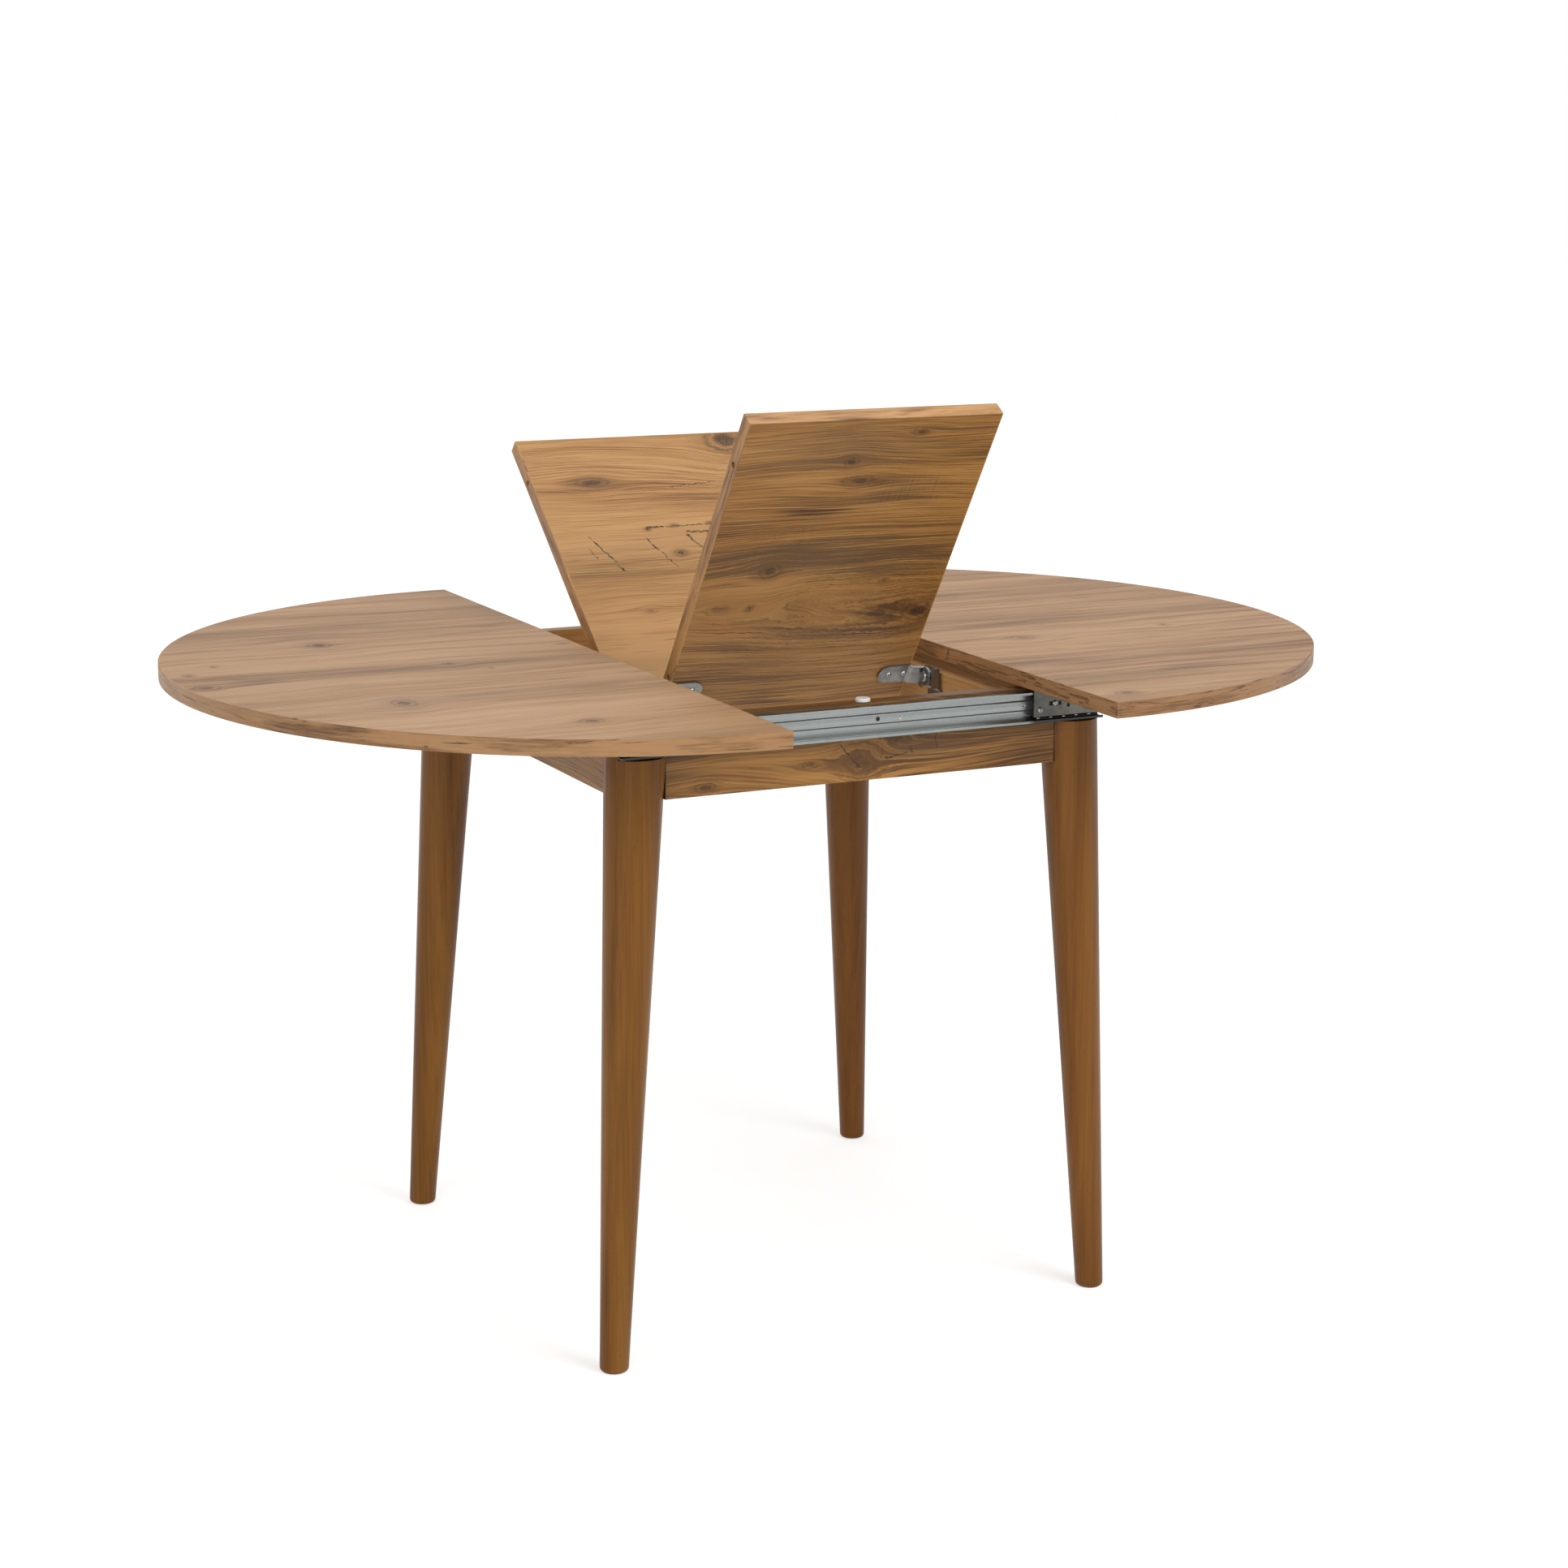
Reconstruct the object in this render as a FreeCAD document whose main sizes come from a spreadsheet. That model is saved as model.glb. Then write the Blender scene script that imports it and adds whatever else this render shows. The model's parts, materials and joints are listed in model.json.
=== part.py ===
"""Butterfly leaf table: a round top in two sliding halves over a square frame
on four splayed legs, with a folding leaf that turns up out of the frame.

Millimetres, degrees. +Z is up and the origin is on the floor under the middle
of the table. +X is the way the right half slides out, and -Y is the front.
The leaf is modelled flat, in a frame of its own whose origin is on the fold
line in the top face, and is then turned to its half-opened pose.
"""
import FreeCAD, Part
import os
import re
import Sketcher

doc = FreeCAD.newDocument("ButterflyLeafTable")

# ---------------------------------------------------------------- dimensions

SIZES = {
    # top
    "table_height": (750, "floor to the top faces"),
    "top_radius": (500, "radius of the round top"),
    "board": (18, "thickness of the top and leaf boards"),
    "edging": (1, "thickness of the edge bands"),
    "leaf_room": (40, "an opened half from the flat leaf"),
    "bore_radius": (3.5, "alignment bores in the cut edges"),
    "bore_depth": (12, "depth of the alignment bores"),
    "bore_near": (130, "inner alignment bores from the fold line"),
    "bore_end": (62, "outer alignment bores from the leaf's free ends"),
    # leaf
    "leaf_wide": (310, "width of the leaf between the halves"),
    "fold_gap": (0.15, "each panel's edge short of the fold line"),
    "pivot_back": (123, "leaf pivot in front of the fold line, leaf flat"),
    "pivot_drop": (34, "leaf pivot below the top faces"),
    "front_angle": (57.6, "front panel turned up from flat, in degrees"),
    "rear_angle": (40.5, "rear panel turned up from flat, in degrees"),
    "hinge_pitch": (110, "fold hinges apart"),
    "cup_radius": (7, "radius of a fold hinge cup"),
    "cup_deep": (22, "depth of a fold hinge cup"),
    "link_radius": (5.9, "radius of a half-round fold link"),
    "link_wide": (6, "width of a fold link"),
    "link_play": (0.1, "running clearance round a fold link"),
    # frame
    "frame_past": (136, "outer face of the side aprons past the leaf's edges"),
    "frame_y": (293, "outer face of the front and rear aprons from the middle"),
    "apron_thick": (18, "thickness of aprons and pivot rails"),
    "apron_tall": (88, "height of the aprons"),
    "short_x": (47, "front and rear aprons short of the frame's sides"),
    "short_y": (46, "side aprons short of the frame's front and rear"),
    "rail_past": (29, "inner face of the pivot rails past the leaf's edges"),
    "rail_tall": (70, "height of the pivot rails"),
    "rail_drop": (12, "top of the pivot rails below the boards"),
    "bumper_radius": (8.5, "radius of the white bumpers"),
    "bumper_gap": (4, "apron tops below the boards"),
    "bumper_play": (0.2, "bumper tops below the flat leaf"),
    "bumper_edge": (1, "softened edge of a bumper"),
    "stem_radius": (3, "stem of a bumper"),
    "stem_long": (10, "length of that stem"),
    # legs
    "foot_past_x": (17.5, "middle of each foot past the side aprons"),
    "foot_past_y": (9.75, "middle of each foot past the front and rear aprons"),
    "lean_x": (38.9, "inward lean of a leg up to the boards, along X"),
    "lean_y": (29.35, "inward lean of a leg up to the boards, along Y"),
    "foot_radius": (16.2, "radius of a leg at the floor"),
    "leg_radius": (34.8, "radius of a leg at the boards"),
    "foot_round": (5, "rounded edge under each foot"),
    "leg_spare": (20, "length cut off a leg's cone at each end"),
    "step_play": (2, "a leg's step below the slide channel"),
    "floor_touch": (0.01, "how near the floor an edge lies on it"),
    # corner plates and leg bolts
    "steel": (2.5, "sheet of the corner plates"),
    "brace_flange": (12, "flanges of the corner plates"),
    "brace_tall": (64, "height of the corner plates"),
    "brace_screws": (48, "corner screws of one flange apart"),
    "bolt_radius": (4, "leg bolts"),
    "bolt_long": (62, "length of the leg bolts"),
    "bolt_back": (16, "thread that stands in from a corner plate"),
    "bolt_apart": (40, "leg bolts of one corner apart"),
    "nut_size": (7.5, "leg nuts across corners, halved"),
    "nut_thick": (6.5, "thickness of the leg nuts"),
    # slides
    "channel_past": (9, "slide channels past the side aprons"),
    "channel_tall": (35, "height of the slide channels"),
    "channel_drop": (7, "top of the slide channels below the boards"),
    "channel_upper": (11, "upper flange of the channels"),
    "channel_lower": (13.5, "lower flange of the channels"),
    "sheet": (1.5, "sheet of channels and runners"),
    "lip": (1.2, "turned-in lips of the channels"),
    "rib_low": (14, "lower edge of the channel's rib"),
    "rib_high": (23.6, "upper edge of the channel's rib"),
    "rib_ratio": (0.4, "back of a rib's bend, in sheets"),
    "channel_screw_near": (41.5, "inner channel screw from the middle"),
    "channel_screw_far": (200.5, "outer channel screws from the middle"),
    "spare_hole": (13, "spare hole of a channel from the middle"),
    "spare_radius": (2.5, "radius of that hole"),
    "runner_past": (13, "inner end of a runner past the half's cut edge"),
    "runner_long": (132, "length of the runners"),
    "runner_in": (5, "edges of the runner's flanges from the apron"),
    "runner_deep": (5, "depth of the runner's flanges"),
    "ball_radius": (2.45, "radius of a ball"),
    "ball_track": (5, "gap that the balls run in"),
    "ball_out": (7.2, "ball centres from the apron"),
    "ball_past": (9, "first ball past the runner's inner end"),
    "ball_pitch": (16.75, "balls apart"),
    "ball_count": (5, "balls in a row"),
    "cage_sheet": (0.8, "sheet of the ball cages"),
    "cage_in": (3.6, "back of a ball cage from the apron"),
    "cage_out": (10.6, "edges of a ball cage from the apron"),
    "cage_margin": (5, "cage beyond its end balls"),
    "carrier_sheet": (2, "sheet of the runner angles"),
    "carrier_long": (270, "length of a runner angle's flange under the top"),
    "carrier_low": (7, "lower edge of a runner angle above the channel's underside"),
    "carrier_in": (12, "a runner angle's flange inward of the apron's outer face"),
    "slot_past": (19.5, "slot of a runner angle past its inner end"),
    "slot_long": (16, "length of that slot"),
    "slot_low": (19.2, "lower edge of that slot above the channel's underside"),
    "slot_high": (23.8, "upper edge of that slot above the channel's underside"),
    "pinhole_past": (44.8, "hole of a runner angle past its inner end"),
    "pinhole_level": (18.3, "that hole above the channel's underside"),
    "pinhole_radius": (2.25, "radius of that hole"),
    "first_screw": (8, "first runner screw past the runner's inner end"),
    "first_level": (14.6, "that screw above the channel's underside"),
    "second_screw": (27.5, "second runner screw past the runner's inner end"),
    "second_level": (21.5, "that screw above the channel's underside"),
    "third_screw": (72, "third runner screw past the runner's inner end"),
    "last_screw": (14, "last runner screw short of the runner's outer end"),
    "top_screw_end": (30, "outermost top screws from a runner angle's ends"),
    "top_screw_count": (4, "top screws along a runner angle"),
    # leaf brackets and pivots
    "strap": (3, "sheet of the leaf brackets and pivot plates"),
    "strap_in": (41, "inner end of a leaf bracket inward of the leaf's edge"),
    "bend_in": (3, "bend of a leaf bracket inward of the leaf's edge"),
    "strap_front": (6.5, "bracket in front of the pivot"),
    "strap_rear": (18, "bracket behind the pivot"),
    "lug_past": (13, "inner face of a bracket's lug past the leaf's edge"),
    "lug_radius": (11, "radius of a bracket's lug"),
    "strap_run": (5, "steep part of a bracket's arm, along X"),
    "strap_fall": (3.5, "fall of the steep part"),
    "lug_top": (10, "top of a bracket's arm above the pivot"),
    "lug_ratio": (0.83, "inner side of the bend at the lug, in sheets"),
    "arm_ratio": (0.4, "inner side of the bend in the arm, in sheets along X"),
    "fall_ratio": (0.95, "inner side of the bend in the arm, in sheets down"),
    "bend_ratio": (0.3, "inner side of the bend at the strap, in sheets"),
    "strap_screw_near": (13, "first bracket screw past the bracket's inner end"),
    "strap_screw_next": (33, "second bracket screw past the bracket's inner end"),
    "strap_screw_back": (5, "bracket screws behind the pivot"),
    "pin_radius": (4, "journal of a leaf pivot"),
    "pin_play": (0.05, "radial clearance of a leaf pivot"),
    "stud_head": (6, "head of a pivot stud"),
    "stud_thick": (2.7, "thickness of that head"),
    "stud_edge": (1, "softened edge of that head"),
    "stud_collar": (7, "collar of a pivot stud"),
    "stud_rivet": (5.5, "riveted end of a pivot stud"),
    "rivet_thick": (1.5, "thickness of that end"),
    "side_play": (0.3, "clearance beside a bracket's lug"),
    "plate_wide": (30, "width of a pivot plate"),
    "plate_flange": (9.5, "front flange of a pivot plate, along X"),
    "flange_tall": (24, "height of that flange"),
    "plate_joggle": (4.5, "step of a pivot plate"),
    "plate_low": (52, "lower edge of a pivot plate below the pivot"),
    "plate_high": (11, "upper edge of a pivot plate above the pivot"),
    "plate_screw_up": (12, "screws of a pivot plate above its lower edge"),
    "joggle_low": (16, "step of a pivot plate below the pivot"),
    # screws
    "screw_radius": (1.75, "shank of the screws"),
    "screw_head": (3.5, "head of the screws"),
    "screw_dome": (2.4, "height of a pan head"),
    "crown_ratio": (0.62, "flat crown of a pan head, in head radii"),
    "rim_ratio": (0.45, "straight rim of a pan head, in heights"),
    "screw_long": (14, "length of the wood screws"),
    "screw_sink": (1.9, "depth of a countersunk head"),
    "screw_short": (4.5, "length of the runner screws"),
    "spare": (1, "reach of a cutting shape past what it cuts"),
}

# Places that follow from the dimensions. Each is spelled out where it is used.
PLACES = {
    "top_under": "(table_height - board)",
    "top_open": "(leaf_wide/2 + leaf_room)",
    "panel_long": "top_radius",
    "bore_far": "(panel_long - bore_end)",
    "frame_x": "(leaf_wide/2 + frame_past)",
    "reach_x": "(frame_x - short_x)",
    "reach_y": "(frame_y - short_y)",
    "rail_x": "(leaf_wide/2 + rail_past)",
    "foot_x": "(frame_x + foot_past_x)",
    "foot_y": "(frame_y + foot_past_y)",
    "apron_high": "(top_under - bumper_gap)",
    "apron_low": "(apron_high - apron_tall)",
    "apron_mid": "(apron_high - apron_tall/2)",
    "inner_x": "(frame_x - apron_thick)",
    "inner_y": "(frame_y - apron_thick)",
    "rail_high": "(top_under - rail_drop)",
    "channel_high": "(top_under - channel_drop)",
    "channel_low": "(channel_high - channel_tall)",
    "pivot_y": "(-pivot_back)",
    "pivot_z": "(table_height - pivot_drop)",
    "fold_y": "(pivot_y + pivot_back*cos(front_angle) + pivot_drop*sin(front_angle))",
    "fold_z": "(pivot_z - pivot_back*sin(front_angle) + pivot_drop*cos(front_angle))",
    "brace_sum": "(foot_x - lean_x + foot_y - lean_y - leg_radius*sqrt(2))",
    "brace_mid_x": "(inner_x/2 + brace_sum/2 - inner_y/2)",
    "brace_mid_y": "(inner_y/2 + brace_sum/2 - inner_x/2)",
    "brace_inner": "(brace_sum - steel*sqrt(2))",
    "channel_half": "(frame_x + channel_past)",
    "runner_start": "(top_open + runner_past)",
    "runner_out": "(runner_in + runner_deep + sheet)",
    "runner_low": "(channel_low + sheet + ball_track)",
    "runner_high": "(channel_high - sheet - ball_track)",
    "rib_out": "(2*sheet)",
    "ball_first": "(runner_start + ball_past)",
    "carrier_out": "(runner_out + carrier_sheet)",
    "strap_start": "(leaf_wide/2 - strap_in)",
    "strap_bend": "(leaf_wide/2 - bend_in)",
    "lug_x": "(leaf_wide/2 + lug_past)",
    "plate_in": "(rail_x - plate_joggle - strap)",
}

sheet = doc.addObject("Spreadsheet::Sheet", "Size")
for row, (word, (value, note)) in enumerate(SIZES.items(), 1):
    sheet.set(f"A{row}", note)
    sheet.set(f"B{row}", str(value))
    sheet.setAlias(f"B{row}", word)
doc.recompute()


def full(text):
    """An expression with each place spelled out and each size read from the sheet."""
    def spell(found):
        word = found[0]
        if word in PLACES:
            return full(PLACES[word])
        if word in SIZES:
            return "Size." + word
        return word
    return re.sub(r"[a-z_]+", spell, text)


def number(text):
    """The value of an expression."""
    return float(sheet.evalExpression(full(text)))


# ------------------------------------------------------------------- helpers

# Turns that carry the local Z axis to the way a rod, screw or bore points.
WAYS = {
    "+z": "rotation(vector(0; 0; 1); 0)",
    "-z": "rotation(vector(1; 0; 0); 180)",
    "+x": "rotation(vector(0; 1; 0); 90)",
    "-x": "rotation(vector(0; 1; 0); -90)",
    "+y": "rotation(vector(1; 0; 0); -90)",
    "-y": "rotation(vector(1; 0; 0); 90)",
    "corner": "rotation(vector(1; 1; 0); 90)",
    "back": "rotation(vector(1; 1; 0); -90)",
}
LEAF_FRONT = "placement(vector(0; fold_y; fold_z); rotation(vector(1; 0; 0); -front_angle))"
LEAF_REAR = "placement(vector(0; fold_y; fold_z); rotation(vector(1; 0; 0); rear_angle))"
LEAF_LINKS = "placement(vector(0; fold_y; fold_z); rotation(vector(1; 0; 0); (rear_angle - front_angle)/2))"

nodes = []


def node(label, item):
    """Keep an object as a sub-part of the table, under its name."""
    item.Label = label
    nodes.append(item)
    return item


def tie(item, **sizes):
    """Bind properties of an object to expressions."""
    for name, text in sizes.items():
        item.setExpression(name.replace("__", "."), full(text))
    return item


def at(x, y, z, way="+z"):
    """A placement at a point, with local Z turned to point a given way."""
    return f"placement(vector({x}; {y}; {z}); {WAYS[way]})"


def box(name, x, y, z):
    """A block between pairs of coordinates."""
    item = doc.addObject("Part::Box", name)
    return tie(item, Length=f"{x[1]} - ({x[0]})", Width=f"{y[1]} - ({y[0]})",
               Height=f"{z[1]} - ({z[0]})", Placement=at(x[0], y[0], z[0]))


def rod(name, radius, length, place, angle="360"):
    """A round bar from a place along its own Z axis."""
    item = doc.addObject("Part::Cylinder", name)
    return tie(item, Radius=radius, Height=length, Angle=angle, Placement=place)


def cut(name, base, *tools):
    """One object with others taken out of it, one after the other."""
    for tool in tools:
        item = doc.addObject("Part::Cut", name)
        item.Base = base
        item.Tool = tool
        base = item
    return base


def common(name, base, tool):
    """What two objects share."""
    item = doc.addObject("Part::Common", name)
    item.Base = base
    item.Tool = tool
    return item


def fuse(name, base, tool):
    """Two objects made one."""
    item = doc.addObject("Part::Fuse", name)
    item.Base = base
    item.Tool = tool
    return item


def group(name, items):
    """Separate solids kept together."""
    item = doc.addObject("Part::Compound", name)
    item.Links = items
    return item


def copies(name, source, places):
    """A group of like pieces, one at each place."""
    items = []
    for place in places:
        item = doc.addObject("App::Link", name)
        item.LinkedObject = source
        items.append(tie(item, Placement=place))
    return group(name + "Group", items)


def mirror(name, source, across):
    """The mirror image across the plane x = 0 or y = 0."""
    item = doc.addObject("Part::Mirroring", name)
    item.Source = source
    item.Normal = FreeCAD.Vector(across == "x", across == "y", 0)
    return item


def draw(body, role, corners, offset="0"):
    """A closed outline on one of a body's own planes, each corner set from the origin."""
    sketch = body.newObject("Sketcher::SketchObject", body.Name + "Sketch")
    plane = [part for part in body.Origin.OriginFeatures if part.Role == role][0]
    sketch.AttachmentSupport = (plane, [""])
    sketch.MapMode = "FlatFace"
    tie(sketch, AttachmentOffset__Base__z=offset)
    points = [FreeCAD.Vector(number(u), number(v), 0) for u, v in corners]
    count = len(points)
    for index in range(count):
        sketch.addGeometry(Part.LineSegment(points[index], points[(index + 1) % count]))
    for index in range(count):
        sketch.addConstraint(Sketcher.Constraint("Coincident", index, 2, (index + 1) % count, 1))
    for index, corner in enumerate(corners):
        for kind, text in zip(("DistanceX", "DistanceY"), corner):
            rule = sketch.addConstraint(Sketcher.Constraint(kind, -1, 1, index, 1, number(text)))
            sketch.setExpression(f"Constraints[{rule}]", full(text))
    return sketch


def pad(name, role, corners, start, length):
    """An outline given depth: along +X on the YZ plane, +Z on XY and -Y on XZ."""
    body = doc.addObject("PartDesign::Body", name)
    sketch = draw(body, role, corners, start)
    item = body.newObject("PartDesign::Pad", name + "Pad")
    item.Profile = sketch
    tie(item, Length=length)
    return body


def turned(name, corners):
    """A profile of radius and height turned about the Z axis."""
    body = doc.addObject("PartDesign::Body", name)
    sketch = draw(body, "XZ_Plane", corners)
    item = body.newObject("PartDesign::Revolution", name + "Turn")
    item.Profile = sketch
    item.ReferenceAxis = (sketch, ["V_Axis"])
    item.Angle = 360
    return body


def four(label, item):
    """A front right piece and its three mirror images."""
    left = mirror(item.Name + "Left", item, "x")
    rear = mirror(item.Name + "Rear", item, "y")
    both = mirror(item.Name + "Both", rear, "x")
    pieces = {"front_right": item, "front_left": left, "rear_right": rear, "rear_left": both}
    return {corner: node(f"{label}_{corner}", piece) for corner, piece in pieces.items()}


# -------------------------------------------------------------------- screws

pan_screw = turned("PanScrew", [
    ("0", "-screw_dome"), ("screw_head*crown_ratio", "-screw_dome"), ("screw_head", "-screw_dome*rim_ratio"),
    ("screw_head", "0"), ("screw_radius", "0"), ("screw_radius", "screw_long - screw_head"),
    ("0", "screw_long")])
sunk_screw = turned("SunkScrew", [
    ("0", "0"), ("screw_head", "0"), ("screw_radius", "screw_sink"),
    ("screw_radius", "screw_long - screw_head"), ("0", "screw_long")])
runner_screw = turned("RunnerScrew", [
    ("0", "-screw_dome"), ("screw_head*crown_ratio", "-screw_dome"), ("screw_head", "-screw_dome*rim_ratio"),
    ("screw_head", "0"), ("screw_radius", "0"), ("screw_radius", "screw_short"),
    ("0", "screw_short")])

# ---------------------------------------------------------------- corner plates

# A bent plate across each corner, with a flange on each apron's inner face.
brace = pad("Brace", "XY_Plane", [
    ("inner_x", "-(brace_sum - inner_x - brace_flange)"),
    ("inner_x", "-(brace_sum - inner_x)"),
    ("brace_sum - inner_y", "-inner_y"),
    ("brace_sum - inner_y - brace_flange", "-inner_y"),
    ("brace_sum - inner_y - brace_flange", "-(inner_y - steel)"),
    ("brace_inner - inner_y + steel", "-(inner_y - steel)"),
    ("inner_x - steel", "-(brace_inner - inner_x + steel)"),
    ("inner_x - steel", "-(brace_sum - inner_x - brace_flange)"),
], "apron_mid - brace_tall/2", "brace_tall")

bolt_levels = ["apron_mid - bolt_apart/2", "apron_mid + bolt_apart/2"]
bolts = group("CornerBolts", [
    rod("CornerBolt", "bolt_radius", "bolt_long",
        at("brace_mid_x - bolt_back/sqrt(2)", "-brace_mid_y + bolt_back/sqrt(2)", level, "corner"))
    for level in bolt_levels])


def nut(level):
    """A hexagon nut against the inner face of a corner plate."""
    item = doc.addObject("Part::Prism", "CornerNut")
    item.Polygon = 6
    return tie(item, Circumradius="nut_size", Height="nut_thick",
               Placement=at("brace_mid_x - steel/sqrt(2)", "-brace_mid_y + steel/sqrt(2)", level, "back"))


nuts = group("CornerNuts", [cut("CornerNutBored", nut(level), bolts) for level in bolt_levels])

brace_screw_levels = ["apron_mid - brace_screws/2", "apron_mid + brace_screws/2"]
brace_screws = copies("BraceScrew", pan_screw, [
    at("inner_x - steel", "-(brace_sum - inner_x - brace_flange/2)", level, "+x")
    for level in brace_screw_levels] + [
    at("brace_sum - inner_y - brace_flange/2", "-(inner_y - steel)", level, "-y")
    for level in brace_screw_levels])

four("corner_plate", cut("BraceBored", brace, bolts, brace_screws))


def around(label, item):
    """One node with a group of pieces at all four corners."""
    left = mirror(item.Name + "Left", item, "x")
    front = group(item.Name + "Front", [item, left])
    rear = mirror(item.Name + "Rear", front, "y")
    return node(label, group(item.Name + "All", [front, rear]))


all_brace_screws = around("corner_screws", brace_screws)
around("leg_bolts", bolts)
around("leg_nuts", nuts)

# ---------------------------------------------------------------------- legs

# A tapered round leg that leans in, cut level at the floor and under the top,
# with flats for the apron ends and a step where the slide channel passes.
leg_cone = doc.addObject("Part::Cone", "LegCone")
tie(leg_cone,
    Radius1="foot_radius - leg_spare*(leg_radius - foot_radius)/top_under",
    Radius2="leg_radius + leg_spare*(leg_radius - foot_radius)/top_under",
    Height="hypot(hypot(lean_x; lean_y); top_under) + 2*leg_spare",
    Placement="placement(vector(foot_x; -foot_y; 0); "
              "rotation(vector(-lean_y; -lean_x; 0); atan(hypot(lean_x; lean_y)/top_under)))"
              " * placement(vector(0; 0; -leg_spare); rotation(vector(0; 0; 1); 0))")
leg_level = common("LegLevel", leg_cone, box(
    "LegRoom", ("foot_x - 2*leg_radius - lean_x", "foot_x + 2*leg_radius"),
    ("-foot_y - 2*leg_radius", "-foot_y + 2*leg_radius + lean_y"), ("0", "apron_high")))
leg_room = {"low": "-foot_y - 2*leg_radius", "high": "-foot_y + 3*leg_radius"}
leg_flats = cut(
    "LegFlats", leg_level,
    box("FlatX", ("reach_x - leg_radius", "reach_x"), (leg_room["low"], leg_room["high"]),
        ("apron_low", "table_height")),
    box("FlatY", ("reach_x - leg_radius", "foot_x + leg_radius"), ("-reach_y", leg_room["high"]),
        ("apron_low", "table_height")),
    box("SlideStep", ("reach_x - leg_radius", "foot_x + leg_radius"), (leg_room["low"], "-frame_y"),
        ("channel_low - step_play", "table_height")))
doc.recompute()


def foot_edges(shape):
    """The numbers of the edges that lie on the floor."""
    return [index for index, edge in enumerate(shape.Edges, 1) if edge.BoundBox.ZMax < number("floor_touch")]


leg_soft = doc.addObject("Part::Fillet", "LegRounded")
leg_soft.Base = leg_flats
leg_soft.Edges = [(index, number("foot_round"), number("foot_round"))
                  for index in foot_edges(leg_flats.Shape)]
four("leg", cut("LegBored", leg_soft, bolts))

# -------------------------------------------------------------------- slides

# Profiles are drawn at the front, with depth counted outward from the apron.


def out(depth):
    """Y of a point at a depth outward from the front apron's outer face."""
    return f"-(frame_y + {depth})"


channel_screw_spots = ["channel_screw_near", "channel_screw_far", "-channel_screw_far"]
rib_mid = "(channel_low + (rib_low + rib_high)/2)"
channel_screws = copies("ChannelScrew", sunk_screw,
                        [at(x, out("rib_out"), rib_mid, "+y") for x in channel_screw_spots])
channel = pad("Channel", "YZ_Plane", [
    (out("0"), "channel_low"),
    (out("channel_lower"), "channel_low"),
    (out("channel_lower"), "channel_low + sheet + lip"),
    (out("channel_lower - sheet"), "channel_low + sheet + lip"),
    (out("channel_lower - sheet"), "channel_low + sheet"),
    (out("sheet"), "channel_low + sheet"),
    (out("sheet"), "channel_low + rib_low - sheet"),
    (out("2*sheet"), "channel_low + rib_low"),
    (out("2*sheet"), "channel_low + rib_high"),
    (out("sheet"), "channel_low + rib_high + sheet"),
    (out("sheet"), "channel_high - sheet"),
    (out("channel_upper - sheet"), "channel_high - sheet"),
    (out("channel_upper - sheet"), "channel_high - sheet - lip"),
    (out("channel_upper"), "channel_high - sheet - lip"),
    (out("channel_upper"), "channel_high"),
    (out("0"), "channel_high"),
    (out("0"), "channel_low + rib_high + sheet*(1 - rib_ratio)"),
    (out("sheet"), "channel_low + rib_high - sheet*rib_ratio"),
    (out("sheet"), "channel_low + rib_low + sheet*rib_ratio"),
    (out("0"), "channel_low + rib_low - sheet*(1 - rib_ratio)"),
], "-channel_half", "2*channel_half")
channel_hole = rod("ChannelHole", "spare_radius", "4*sheet", at("spare_hole", out("3*sheet"), rib_mid, "+y"))
channel_front = node("slide_channel_front", cut("ChannelBored", channel, channel_screws, channel_hole))
node("slide_channel_rear", mirror("ChannelRear", channel_front, "y"))
node("channel_screws", group("AllChannelScrews", [
    channel_screws, mirror("ChannelScrewsRear", channel_screws, "y")]))

# Runners under the halves, each with an angle that carries the top.
runner_screw_spots = [
    ("runner_start + first_screw", "first_level"), ("runner_start + second_screw", "second_level"),
    ("runner_start + third_screw", "channel_tall/2"),
    ("runner_start + runner_long - last_screw", "channel_tall/2")]
runner_screws = copies("RunnerScrewAt", runner_screw, [
    at(x, out("carrier_out"), f"channel_low + {level}", "+y") for x, level in runner_screw_spots])
top_screw_step = "(carrier_long - 2*top_screw_end)/(top_screw_count - 1)"
top_screw_spots = [f"runner_start + top_screw_end + {index}*{top_screw_step}"
                   for index in range(round(number("top_screw_count")))]
top_screws = copies("TopScrewAt", sunk_screw, [
    at(x, "-(frame_y - carrier_in/2)", "top_under - carrier_sheet", "+z") for x in top_screw_spots])

runner = pad("Runner", "YZ_Plane", [
    (out("runner_in"), "runner_low"),
    (out("runner_out"), "runner_low"),
    (out("runner_out"), "runner_high"),
    (out("runner_in"), "runner_high"),
    (out("runner_in"), "runner_high - sheet"),
    (out("runner_out - sheet"), "runner_high - sheet"),
    (out("runner_out - sheet"), "runner_low + sheet"),
    (out("runner_in"), "runner_low + sheet"),
], "runner_start", "runner_long")
four("slide_runner", cut("RunnerBored", runner, runner_screws))

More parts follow.
